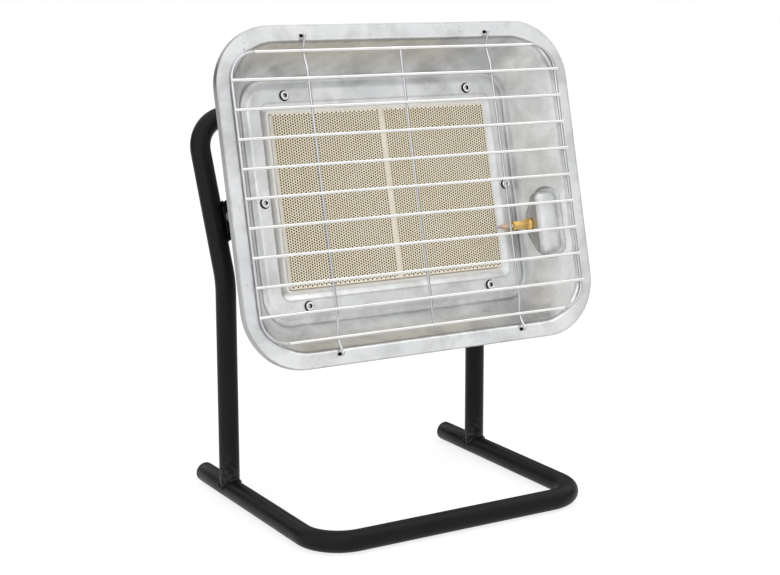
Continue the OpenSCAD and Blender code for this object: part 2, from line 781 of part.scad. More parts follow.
module valve_body() {
    r = valve_d / 2;
    color(brass) at_valve() difference() {
        union() {
            rod_z([0, 0, valve_bottom], valve_top - valve_bottom, r);
            rod_x([cage_x - valve_x + seat_gap, 0, mixer_z], valve_x - cage_x, 7);
            rod_y([0, 0, inlet_z], r + 4, 8);
        }
        // upper chamber, seat and lower chamber
        rod_z([0, 0, seat_z], valve_top - seat_z + 1, chamber_r);
        rod_z([0, 0, seat_z - 4], 5, 4);
        rod_z([0, 0, mixer_z - 4.5], seat_z - 3 - mixer_z + 4.5, 6);
        // guide for the button's stem, and the seal's groove in it
        rod_z([0, 0, valve_bottom - 1], mixer_z - valve_bottom, stem_d / 2 + run_gap);
        rod_z([0, 0, valve_bottom + 3], 1.8, stem_d / 2 + 1.7);
        // gas ways out and in
        rod_x([cage_x - valve_x - 1, 0, mixer_z], valve_x - cage_x + 1, 4 + run_gap);
        rod_y([0, 0, inlet_z], r + 6, 5 + run_gap);
    }
}

module button_collar() {
    wall = 3.2;
    color([0.15, 0.15, 0.15]) at_valve() difference() {
        rod_z([0, 0, valve_bottom - collar_len], collar_len - seat_gap, button_d / 2 + run_gap + wall);
        rod_z([0, 0, valve_bottom - collar_len - 1], collar_len + 2, button_d / 2 + run_gap);
        rod_z([0, 0, valve_bottom - collar_len - 1], 2, button_d / 2 + 1.2);
    }
}

// rubber ring round the stem
module stem_seal() {
    color([0.08, 0.08, 0.08]) at_valve() translate([0, 0, valve_bottom + 3.9])
        rotate_extrude($fn = fine) translate([stem_d / 2 + run_gap + 0.75, 0]) circle(r = 0.75, $fn = 32);
}

// the button: a cup over its spring, with the stem that lifts the poppet
module push_button() {
    base = button_top - button_len;
    crown = 1.2;
    color([0.75, 0.1, 0.08]) at_valve() union() {
        translate([0, 0, base]) rotate_extrude($fn = fine) union() {
            difference() {
                translate([0, crown]) square([button_d / 2, button_len - crown]);
                translate([-1, button_wall + crown]) square([button_d / 2 - 1.6 + 1, button_len]);
            }
            intersection() {
                square([button_d / 2, crown + eps]);
                translate([0, button_d * 1.6]) circle(r = button_d * 1.6, $fn = 180);
            }
        }
        rod_z([0, 0, base + button_wall], stem_top - base - button_wall, stem_d / 2);
    }
}

module button_spring() {
    wire_r = 0.5;
    low = button_top - button_len + button_wall + 1.2 + wire_r + 0.1;
    high = valve_bottom - wire_r - 0.1;
    color(zinc) at_valve() translate([0, 0, low]) coil(stem_d / 2 + 1.4, wire_r, 6, high - low);
}

// rubber-faced disc on its spindle, with the armature that the magnet holds
module valve_poppet() {
    color([0.2, 0.2, 0.2]) at_valve() {
        rod_z([0, 0, seat_z + touch_gap], poppet_t, chamber_r - 1.7);
        rod_z([0, 0, seat_z + poppet_t], armature_z - seat_z - poppet_t + 0.2, 1.5);
        rod_z([0, 0, armature_z], armature_t, 4);
    }
}

module poppet_spring() {
    wire_r = 0.4;
    low = seat_z + poppet_t + touch_gap + wire_r + 0.1;
    high = valve_top - 4.1 - wire_r;
    color(zinc) at_valve() translate([0, 0, low]) coil(5.6, wire_r, 5, high - low);
}

module magnet_unit() {
    color([0.75, 0.75, 0.73]) at_valve() {
        rod_z([0, 0, magnet_z], valve_top + 6 - magnet_z, 4.4);
        rod_z([0, 0, valve_top + 4.5], 8, 2.2);
    }
}

// hexagon cap that closes the upper chamber and holds the magnet
module magnet_housing() {
    color(brass) at_valve() difference() {
        union() {
            translate([0, 0, valve_top + seat_gap]) hex_bar(valve_d - 3, 9);
            rod_z([0, 0, valve_top - 4], 5, chamber_r - run_gap);
            rod_z([0, 0, valve_top + 9], 5, 4);
        }
        rod_z([0, 0, valve_top - 5], 11.1, 4.4 + run_gap);
        rod_z([0, 0, valve_top + 5], 11, 2.2 + run_gap);
    }
}

// inlet: hexagon and thread for the gas hose's union nut, with a cone seat
module gas_inlet() {
    shank = 8;
    hex_len = 6;
    face = valve_d / 2 + 4 + seat_gap;
    color(brass) at_valve() translate([0, face, inlet_z]) rotate([-90, 0, 0]) difference() {
        union() {
            translate([0, 0, -shank]) cylinder(h = shank + 1, r = 5, $fn = fine);
            hex_bar(17, hex_len);
            translate([0, 0, hex_len]) cylinder(h = inlet_len, d = inlet_d, $fn = fine);
        }
        translate([0, 0, -shank - 1]) cylinder(h = shank + hex_len + inlet_len + 2, r = 2.8, $fn = fine);
        translate([0, 0, hex_len + inlet_len - 2.5])
            cylinder(h = 2.6, r1 = 2.8, r2 = inlet_d / 2 - 1.4, $fn = fine);
    }
}

module lead_nut() {
    bottom = valve_top + 9.2;
    color(brass) at_valve() difference() {
        translate([0, 0, bottom]) hex_bar(11, 8);
        rod_z([0, 0, bottom - 1], 6, 4 + run_gap);
        rod_z([0, 0, bottom], 10, lead_d / 2 + seat_gap);
    }
}

// ---------- thermocouple ----------

tc_y = dome_front + dome_w - probe_inset;
tc_z = -dome_drop;
tc_base = dome_x - seat_gap;
tc_thread = 8;
probe_r = probe_d / 2;
tc_tail = dome_x + 9;

// copper lead from the thermocouple to the valve; points picked by hand in the head's frame
lead_points = [
    [tc_tail + 0.3, tc_y, tc_z], [134, 26, -35], [143, 30, -32], [147, 42, -20], [146, 57, 0],
    [142, 65, 10], [valve_x, mixer_y, 6], [valve_x, mixer_y, valve_top + 14.5]
];

module thermocouple_lead() {
    color([0.72, 0.45, 0.3]) in_head() tube_along(smooth(lead_points, 5), lead_d / 2);
}

module thermocouple_nut() {
    flange_t = 3.4;
    hex_len = 13.5;
    color(brass) in_head() translate([tc_base, tc_y, tc_z]) rotate([0, 90, 0]) difference() {
        union() {
            translate([0, 0, -flange_t]) cylinder(h = flange_t, r1 = 4.4, r2 = 5.2, $fn = fine);
            translate([0, 0, -flange_t - hex_len]) hex_bar(6.6, hex_len + 1);
            cylinder(h = 9, d = tc_thread, $fn = fine);
        }
        translate([0, 0, -flange_t - hex_len - 1])
            cylinder(h = hex_len + 16, r = probe_r + seat_gap, $fn = fine);
    }
}

module thermocouple_locknut() {
    color(brass) in_head() difference() {
        translate([dome_x + sheet_t + seat_gap, tc_y, tc_z]) rotate([0, 90, 0]) hex_bar(11, 4);
        rod_x([dome_x, tc_y, tc_z], 9, tc_thread / 2 + run_gap);
    }
}

// sheathed probe through the nut, its tip over the plaque's edge
module thermocouple_probe() {
    tip_x = 83;
    color([0.75, 0.72, 0.7]) in_head() translate([0, tc_y, tc_z]) rotate([0, 90, 0])
        rotate_extrude($fn = fine) polygon([
            [0, tip_x], [0.8, tip_x], [1.2, tip_x + 1.2], [1.2, tip_x + 5], [probe_r, tip_x + 6.5],
            [probe_r, tc_tail], [0, tc_tail]]);
}

// ---------- bracket behind the burner ----------

function screw_xs() = [-82, -58, 58, 82];

module head_bracket() {
    back = case_back + seat_gap;
    half = bracket_w / 2;
    tail = 11;
    bracket_x = ear_x + bracket_t;
    color([0.2, 0.2, 0.2]) in_head() difference() {
        union() {
            translate([-bracket_x, back, -pivot_drop - half]) cube([2 * bracket_x, bracket_t, bracket_w]);
            both_sides() {
                translate([ear_x, back, -pivot_drop - half])
                    cube([bracket_t, pivot_depth - back, bracket_w]);
                rod_x([ear_x, pivot_depth, -pivot_drop], bracket_t, half);
            }
        }
        both_sides() rod_x([ear_x - 1, pivot_depth, -pivot_drop], bracket_t + 2, pivot_d / 2 + run_gap);
        for (x = screw_xs()) rod_y([x, back - 1, -pivot_drop], bracket_t + 2, 2.1);
        translate([-rim_a, pivot_depth + tail, -2 * half]) cube([rim_w, half, 4 * half]);
    }
}

module bracket_screws() {
    under = case_back + bracket_t + 2 * seat_gap;
    head_t = 2.4;
    color(zinc) in_head() for (x = screw_xs()) {
        rod_y([x, case_back - case_t - 5, -pivot_drop], under - case_back + case_t + 5 + eps, 2);
        translate([x, under, -pivot_drop]) rotate([-90, 0, 0]) rotate_extrude($fn = fine) intersection() {
            square([3.9, head_t]);
            translate([0, -4]) circle(r = 4 + head_t, $fn = 96);
        }
    }
}

module bracket_nuts() {
    nut_t = 3.2;
    color(zinc) in_head() for (x = screw_xs()) difference() {
        translate([x, case_back - case_t - seat_gap - nut_t, -pivot_drop]) rotate([-90, 0, 0])
            hex_bar(7, nut_t);
        rod_y([x, case_back - case_t - 6, -pivot_drop], 8, 2 + run_gap);
    }
}

// ---------- guard ----------

module guard_ring() {
    a = ring_w / 2;
    b = ring_h / 2;
    r = wire_d / 2;
    color(zinc) in_head() translate([0, ring_y, guard_rise]) {
        for (s = [-1, 1]) {
            rod_x([ring_r - a, 0, s * b], 2 * (a - ring_r), r);
            rod_z([s * a, 0, ring_r - b], 2 * (b - ring_r), r);
        }
        for (c = [0 : 3]) {
            cx = (c == 0 || c == 3) ? a - ring_r : ring_r - a;
            cz = (c < 2) ? b - ring_r : ring_r - b;
            translate([cx, 0, cz]) rotate([90, 0, 0]) rotate([0, 0, 90 * c])
                rotate_extrude(angle = 90, $fn = fine) translate([ring_r, 0]) circle(r = r, $fn = fine);
        }
    }
}

module guard_crosswires() {
    span = ring_w + 2 * wire_over;
    color(zinc) in_head() for (i = [0 : crosswires - 1]) {
        z = guard_rise + (i - (crosswires - 1) / 2) * wire_pitch;
        rod_x([-span / 2, cross_y, z], span, wire_d / 2);
    }
}

// points of a hooked upright's upper half; s = -1 gives the lower half
function hook_half(s) =
    let (ring_z = guard_rise + s * ring_h / 2)
    [
        [0, stay_y, ring_z - s * 14], [0, dip_y, ring_z - s * 5], [0, dip_y, ring_z + s * 3.2],
        [0, stay_y + 0.3, s * (hook_z - 4.6)], [0, hook_y, s * hook_z], [0, -hook_y, s * hook_z]
    ];

module guard_hook_wires() {
    lower = hook_half(-1);
    points = concat([for (i = [5 : -1 : 0]) lower[i]], hook_half(1));
    color(zinc) in_head() for (x = [-1, 1]) translate([x * stay_gap, 0, 0])
        tube_along(rounded(points, 3), stay_d / 2, 12);
}

module guard_centre_wire() {
    half = (ring_h - wire_d) / 2 - touch_gap;
    color(zinc) in_head() rod_z([0, stay_y, guard_rise - half], 2 * half, stay_d / 2);
}

base_tube();
base_end_plugs();
upright_tube();
pivot_arm_left();
pivot_arm_right();
pivot_bolts();
friction_washers();
wing_nut_left();
wing_nut_right();
reflector();
burner_casing();
casing_rivets();
tile_left();
tile_right();
tile_joint_strip();
tile_seal();
tile_rest();
mixing_tube();
injector_cage();
injector();
valve_body();
button_collar();
stem_seal();
push_button();
button_spring();
valve_poppet();
poppet_spring();
magnet_unit();
magnet_housing();
gas_inlet();
lead_nut();
thermocouple_lead();
thermocouple_nut();
thermocouple_locknut();
thermocouple_probe();
head_bracket();
bracket_screws();
bracket_nuts();
guard_ring();
guard_crosswires();
guard_hook_wires();
guard_centre_wire();
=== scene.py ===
"""Dresses a packed portable propane heater: its drawn reflector, ceramic plaques, wire guard,
flame-failure valve, tilting mount and bent-tube stand get their final shapes and finishes.

Every sub-assembly is a class that holds its sizes in millimetres. Its methods model the pieces
in the same frame as the CAD nodes that they stand for.
"""

import json
import logging
import math
from dataclasses import dataclass, field
from enum import Enum
from typing import Callable, Iterable, Sequence

import bmesh
import bpy
from mathutils import Matrix, Vector

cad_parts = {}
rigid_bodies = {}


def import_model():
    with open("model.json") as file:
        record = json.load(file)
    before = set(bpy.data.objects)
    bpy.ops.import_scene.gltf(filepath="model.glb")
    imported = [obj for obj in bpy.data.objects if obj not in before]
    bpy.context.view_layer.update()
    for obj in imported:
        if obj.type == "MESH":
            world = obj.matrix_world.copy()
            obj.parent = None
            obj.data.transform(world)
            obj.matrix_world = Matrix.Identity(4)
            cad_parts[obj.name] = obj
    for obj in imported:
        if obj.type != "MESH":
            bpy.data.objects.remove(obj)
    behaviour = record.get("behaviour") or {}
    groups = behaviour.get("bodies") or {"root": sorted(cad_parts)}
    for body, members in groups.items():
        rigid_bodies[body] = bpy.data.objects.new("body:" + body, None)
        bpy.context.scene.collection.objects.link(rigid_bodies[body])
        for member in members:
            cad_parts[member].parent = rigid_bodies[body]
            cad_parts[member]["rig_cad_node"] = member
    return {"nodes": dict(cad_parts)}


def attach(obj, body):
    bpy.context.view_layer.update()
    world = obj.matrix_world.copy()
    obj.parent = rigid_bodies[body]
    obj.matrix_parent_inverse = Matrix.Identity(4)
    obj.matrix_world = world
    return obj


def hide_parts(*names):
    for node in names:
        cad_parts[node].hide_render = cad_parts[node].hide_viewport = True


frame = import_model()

LOG = logging.getLogger("heater")
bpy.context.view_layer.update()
MM = 0.001

Loop = list[Vector]
Piece = bpy.types.Object
Material = bpy.types.Material
Tree = bpy.types.NodeTree
Node = bpy.types.Node
Socket = bpy.types.NodeSocket
Colour = tuple[float, float, float]
Radius = Callable[[float, float], float]

HEAD_LEAN = 13.7  # the reflector's lean in degrees
THREAD_STEP = 0.125  # rise from ring to ring of a metric thread, in millimetres
GAS_PITCH = 1.337  # pitch of the gas thread in millimetres
CHAMFER = 0.58  # rise of a nut's chamfer for each millimetre inwards
CHAMFER_FACE = 0.94  # a nut's face circle as a share of its flats
MERGE_DISTANCE = 0.00002  # points nearer than this become one, in metres


class Ends(Enum):
    """How the two ends of a loft are left."""

    CLOSED = "closed"
    OPEN = "open"
    LAST = "last"
    RING = "ring"


# ---------------------------------------------------------------- workbench


def take(piece: Piece) -> Piece:
    """Selects one piece alone and makes it active."""
    bpy.ops.object.select_all(action="DESELECT")
    piece.select_set(True)
    bpy.context.view_layer.objects.active = piece
    return piece


def lay(piece: Piece, loop: Loop) -> None:
    """Lays the selected vertices on an outline, each on the point of its own number.

    Args:
        piece: The piece that is in edit mode.
        loop: The outline's points in millimetres.
    """
    mesh = bmesh.from_edit_mesh(piece.data)
    turn = mesh.verts.layers.int["turn"]
    for vertex in mesh.verts:
        if vertex.select:
            vertex.co = loop[vertex[turn]] * MM
    bmesh.update_edit_mesh(piece.data)


def loft(name: str, loops: Sequence[Loop], ends: Ends = Ends.CLOSED) -> Piece:
    """Extrudes a circle's edge from outline to outline.

    Args:
        name: The piece's name.
        loops: Outlines with equal numbers of points, in millimetres.
        ends: How the first and last outlines are left.

    Returns:
        The new piece.
    """
    count = len(loops[0])
    bpy.ops.object.select_all(action="DESELECT")
    bpy.ops.mesh.primitive_circle_add(vertices=count, radius=1.0)
    piece = bpy.context.object
    piece.name = piece.data.name = name
    bpy.ops.object.mode_set(mode="EDIT")
    bpy.ops.mesh.select_mode(type="VERT")
    mesh = bmesh.from_edit_mesh(piece.data)
    turn = mesh.verts.layers.int.new("turn")
    mesh.verts.ensure_lookup_table()
    for number, vertex in enumerate(mesh.verts):
        vertex[turn] = number
    bmesh.update_edit_mesh(piece.data)
    bpy.ops.mesh.select_all(action="SELECT")
    lay(piece, loops[0])
    if ends is Ends.CLOSED:
        bpy.ops.mesh.edge_face_add()
    for loop in loops[1:]:
        bpy.ops.mesh.extrude_region_move()
        lay(piece, loop)
    if ends is Ends.LAST:
        bpy.ops.mesh.edge_face_add()
    if ends is Ends.RING:
        mesh = bmesh.from_edit_mesh(piece.data)
        mesh.verts.ensure_lookup_table()
        for number in range(count):
            mesh.verts[number].select = True
        mesh.select_flush(True)
        bmesh.update_edit_mesh(piece.data)
        bpy.ops.mesh.bridge_edge_loops()
    if ends in (Ends.CLOSED, Ends.RING):
        bpy.ops.mesh.select_all(action="SELECT")
        bpy.ops.mesh.normals_make_consistent(inside=False)
    bpy.ops.object.mode_set(mode="OBJECT")
    piece.data.attributes.remove(piece.data.attributes["turn"])
    return piece


def at(x: float, y: float, z: float) -> Matrix:
    """A move by lengths in millimetres."""
    return Matrix.Translation((x * MM, y * MM, z * MM))


def turned(angle: float, axis: str) -> Matrix:
    """A turn by an angle in degrees about an axis."""
    return Matrix.Rotation(math.radians(angle), 4, axis)


def edit_all(piece: Piece, *steps: Callable[[], object]) -> None:
    """Runs steps in edit mode on the whole of a piece.

    Args:
        piece: The piece.
        steps: Calls of operators, in order.
    """
    take(piece)
    bpy.ops.object.mode_set(mode="EDIT")
    bpy.ops.mesh.select_all(action="SELECT")
    for step in steps:
        step()
    bpy.ops.object.mode_set(mode="OBJECT")


def outward() -> None:
    """Turns the selected faces outwards."""
    bpy.ops.mesh.normals_make_consistent(inside=False)


def place(piece: Piece, matrix: Matrix) -> Piece:
    """Moves a piece's mesh by a matrix and leaves its object at the origin."""
    take(piece)
    piece.matrix_world = matrix
    bpy.ops.object.transform_apply(location=True, rotation=True, scale=True)
    return piece


def smooth(piece: Piece, angle: float = 35.0) -> Piece:
    """Shades a piece smooth, apart from edges sharper than an angle."""
    take(piece)
    bpy.ops.object.shade_smooth_by_angle(angle=math.radians(angle))
    return piece


def apply(piece: Piece, modifier: bpy.types.Modifier) -> None:
    """Applies one modifier of a piece."""
    take(piece)
    bpy.ops.object.modifier_apply(modifier=modifier.name)


def join(name: str, pieces: Sequence[Piece]) -> Piece:
    """Joins pieces into one mesh.

    Args:
        name: The joined piece's name.
        pieces: The pieces to join.

    Returns:
        The joined piece.
    """
    take(pieces[0])
    for piece in pieces[1:]:
        piece.select_set(True)
    if len(pieces) > 1:
        bpy.ops.object.join()
    pieces[0].name = pieces[0].data.name = name
    return pieces[0]


def cut(piece: Piece, cutters: Sequence[Piece]) -> Piece:
    """Cuts closed forms out of a piece.

    Args:
        piece: The piece to cut.
        cutters: Closed forms that don't touch each other. They are used up.

    Returns:
        The same piece.
    """
    tool = join("cutter", list(cutters))
    modifier = piece.modifiers.new("cut", "BOOLEAN")
    modifier.operation = "DIFFERENCE"
    modifier.solver = "EXACT"
    modifier.object = tool
    apply(piece, modifier)
    bpy.data.objects.remove(tool)
    return piece


def thicken(piece: Piece, thickness: float) -> Piece:
    """Gives a sheet its thickness, behind its faces.

    Args:
        piece: An open sheet.
        thickness: Its thickness in millimetres.

    Returns:
        The same piece.
    """
    modifier = piece.modifiers.new("sheet", "SOLIDIFY")
    modifier.thickness = thickness * MM
    modifier.offset = -1.0
    apply(piece, modifier)
    return piece


def bevel(piece: Piece, width: float, segments: int = 2, angle: float = 40.0) -> Piece:
    """Rounds a piece's sharp edges.

    Args:
        piece: The piece to bevel.
        width: Bevel width in millimetres.
        segments: Number of steps across the bevel.
        angle: Edges sharper than this, in degrees, are rounded.

    Returns:
        The same piece.
    """
    modifier = piece.modifiers.new("edges", "BEVEL")
    modifier.width = width * MM
    modifier.segments = segments
    modifier.limit_method = "ANGLE"
    modifier.angle_limit = math.radians(angle)
    apply(piece, modifier)
    return piece


# ---------------------------------------------------------------- outlines and paths


def rounded(points: Sequence[Vector], reach: float | Sequence[float], steps: int = 4) -> list[Vector]:
    """Rounds the inner corners of a run of points.

    Args:
        points: The run's corners.
        reach: How far each corner is cut back, one number or one for each point.
        steps: Number of steps across a corner.

    Returns:
        The rounded run.
    """
    run = [points[0]]
    for number in range(1, len(points) - 1):
        corner = points[number]
        back = points[number - 1] - corner
        ahead = points[number + 1] - corner
        wanted = reach if isinstance(reach, (int, float)) else reach[number]
        cut_back = min(wanted, back.length * 0.48, ahead.length * 0.48)
        start = corner + back * (cut_back / back.length)
        end = corner + ahead * (cut_back / ahead.length)
        for step in range(steps + 1):
            t = step / steps
            run.append(start * (1 - t) ** 2 + corner * (2 * t * (1 - t)) + end * t * t)
    run.append(points[-1])
    return run


def refined(points: Sequence[Vector], longest: float) -> list[Vector]:
    """Splits a run's long stretches.

    Args:
        points: The run.
        longest: The longest stretch left.

    Returns:
        The run with more points.
    """
    run = [points[0]]
    for start, end in zip(points, points[1:]):
        parts = max(1, math.ceil((end - start).length / longest))
        run.extend(start.lerp(end, k / parts) for k in range(1, parts + 1))
    return run


def spread(points: Sequence[Vector], count: int) -> list[Vector]:
    """Spreads points evenly along a smooth curve through given ones.

    Args:
        points: Points that the curve passes.
        count: Number of points to return.

    Returns:
        Evenly spread points.
    """
    dense: list[Vector] = []
    last = len(points) - 1
    for i in range(last):
        a, b = points[max(i - 1, 0)], points[i]
        c, d = points[i + 1], points[min(i + 2, last)]
        for k in range(24):
            t = k / 24
            dense.append(0.5 * (2 * b + (c - a) * t + (2 * a - 5 * b + 4 * c - d) * t * t
                                + (3 * b - a - 3 * c + d) * t ** 3))
    dense.append(points[-1])
    lengths = [0.0]
    for a, b in zip(dense, dense[1:]):
        lengths.append(lengths[-1] + (b - a).length)
    run: list[Vector] = []
    j = 0
    for n in range(count):
        target = lengths[-1] * n / (count - 1)
        while j < len(lengths) - 2 and lengths[j + 1] < target:
            j += 1
        span = lengths[j + 1] - lengths[j]
        run.append(dense[j].lerp(dense[j + 1], 0.0 if span == 0 else (target - lengths[j]) / span))
    return run


def round_loop(radius: float, height: float, facets: int = 48) -> Loop:
    """A circle round Z."""
    return shaped_loop(lambda _turn, _height: radius, height, facets)


def shaped_loop(radius: Radius, height: float, facets: int) -> Loop:
    """An outline round Z whose radius is a function of angle and height.

    Args:
        radius: Gives the radius from the angle in radians and the height.
        height: The outline's height on Z.
        facets: Number of points.

    Returns:
        The outline.
    """
    loop = []
    for k in range(facets):
        turn = 2 * math.pi * k / facets
        r = radius(turn, height)
        loop.append(Vector((r * math.cos(turn), r * math.sin(turn), height)))
    return loop


def rings(facets: int, *profile: tuple[float, float]) -> list[Loop]:
    """Circles round Z, from pairs of radius and height."""
    return [round_loop(radius, height, facets) for radius, height in profile]


def slab_loop(half_w: float, half_h: float, radius: float, depth: float,
              corner: int = 6, sides: tuple[int, int] = (1, 1)) -> Loop:
    """A round-cornered rectangle in an upright plane, at a depth along Y.

    Args:
        half_w: Half its width along X.
        half_h: Half its height along Z.
        radius: Corner radius.
        depth: Place along Y.
        corner: Steps across each corner.
        sides: Steps along the top and bottom, and along the two sides.

    Returns:
        The outline, counter-clockwise seen from behind.
    """
    loop: Loop = []
    signs = ((1, 1), (-1, 1), (-1, -1), (1, -1))
    for quarter, (sx, sz) in enumerate(signs):
        cx, cz = sx * (half_w - radius), sz * (half_h - radius)
        arc = [Vector((cx + radius * math.cos(math.pi / 2 * (quarter + k / corner)), depth,
                       cz + radius * math.sin(math.pi / 2 * (quarter + k / corner))))
               for k in range(corner + 1)]
        nx, nz = signs[(quarter + 1) % 4]
        turn = math.pi / 2 * (quarter + 1)
        target = Vector((nx * (half_w - radius) + radius * math.cos(turn), depth,
                         nz * (half_h - radius) + radius * math.sin(turn)))
        steps = sides[quarter % 2]
        loop.extend(arc)
        loop.extend(arc[-1].lerp(target, k / steps) for k in range(1, steps))
    return loop


def lathe(name: str, profile: Sequence[tuple[float, float]], facets: int = 48,
          ends: Ends = Ends.CLOSED) -> Piece:
    """Turns a profile round Z."""
    return loft(name, [round_loop(p.x, p.y, facets) for p in map(Vector, profile)], ends)


def hexagon(flats: float) -> Callable[[float], float]:
    """The radius of a hexagon by angle.

    Args:
        flats: Width across its flats.

    Returns:
        A function from an angle in radians to a radius.
    """
    def radius(turn: float) -> float:
        """Radius at an angle."""
        local = (turn + math.pi / 6) % (math.pi / 3) - math.pi / 6
        return flats / 2 / math.cos(local)

    return radius


def hex_nut(name: str, flats: float, bottom: float, top: float, bore: float = 0.0,
            facets: int = 72) -> Piece:
    """A hexagon along Z with chamfered corners.

    Args:
        name: The piece's name.
        flats: Width across flats.
        bottom: Height of its lower face.
        top: Height of its upper face.
        bore: Radius of its hole, or 0 for none.
        facets: Number of points round it.

    Returns:
        The new piece.
    """
    corner = hexagon(flats)
    face = flats / 2 * CHAMFER_FACE
    rise = (flats / 2 / math.cos(math.pi / 6) - face) * CHAMFER

    def limit(turn: float, height: float) -> float:
        """Radius at an angle and a height, the hexagon or its chamfer."""
        near = min(height - bottom, top - height)
        return min(corner(turn), face + near / CHAMFER)

    heights = [bottom + rise * k / 4 for k in range(5)]
    heights += [top + bottom - h for h in reversed(heights)]
    loops = [shaped_loop(limit, h, facets) for h in heights]
    if bore <= 0:
        return loft(name, loops)
    lead = min(0.5, bore * 0.2)
    loops = ([round_loop(bore + lead, bottom, facets)] + loops
             + rings(facets, (bore + lead, top), (bore, top - lead), (bore, bottom + lead)))
    return loft(name, loops, Ends.RING)


def threaded(radius: float, pitch: float, depth: float, left_handed: bool = False) -> Radius:
    """The radius of a screw thread by angle and height.

    Args:
        radius: Major radius.
        pitch: Rise for one turn.
        depth: Depth of the thread.
        left_handed: Whether it turns the other way.

    Returns:
        A function from angle and height to a radius.
    """
    hand = -1.0 if left_handed else 1.0

    def cut_radius(turn: float, height: float) -> float:
        """Radius at an angle and a height."""
        phase = (height / pitch - hand * turn / (2 * math.pi)) % 1.0
        ridge = abs(2 * phase - 1)
        return radius - depth * min(1.0, max(0.0, 1.25 * ridge - 0.12))

    return cut_radius


def tube_loops(path: Sequence[Vector], radius: float | Sequence[float], sides: int = 24,
               closed: bool = False) -> list[Loop]:
    """Rings square to a path, without twist from one to the next.

    Args:
        path: The path's points.
        radius: One radius, or one for each point.
        sides: Points round each ring.
        closed: Whether the path is a closed one.

    Returns:
        One ring for each point.
    """
    count = len(path)
    ring_list: list[Loop] = []
    side = None
    for i, point in enumerate(path):
        ahead = path[(i + 1) % count] if closed else path[min(i + 1, count - 1)]
        behind = path[i - 1] if closed else path[max(i - 1, 0)]
        along = (ahead - behind).normalized()
        if side is None:
            helper = Vector((0, 0, 1)) if abs(along.z) < 0.9 else Vector((1, 0, 0))
            side = along.cross(helper).normalized()
        side = (side - along * side.dot(along)).normalized()
        up = along.cross(side)
        r = radius if isinstance(radius, (int, float)) else radius[i]
        ring_list.append([point + side * (r * math.cos(2 * math.pi * k / sides))
                          + up * (r * math.sin(2 * math.pi * k / sides)) for k in range(sides)])
    return ring_list


def wire(name: str, path: Sequence[Vector], radius: float, sides: int = 20) -> Piece:
    """A round wire with cropped, slightly rounded ends.

    Args:
        name: The piece's name.
        path: The wire's centre line.
        radius: The wire's radius.
        sides: Facets round it.

    Returns:
        The new piece.
    """
    start = (path[1] - path[0]).normalized()
    end = (path[-1] - path[-2]).normalized()
    nose = radius * 0.45
    run = [path[0], path[0] + start * nose * 0.3, path[0] + start * nose]
    run += list(path[1:-1])
    run += [path[-1] - end * nose, path[-1] - end * nose * 0.3, path[-1]]
    radii = [radius * 0.6, radius * 0.88] + [radius] * (len(run) - 4) + [radius * 0.88, radius * 0.6]
    return smooth(loft(name, tube_loops(run, radii, sides)), 50)


# ---------------------------------------------------------------- shader wiring


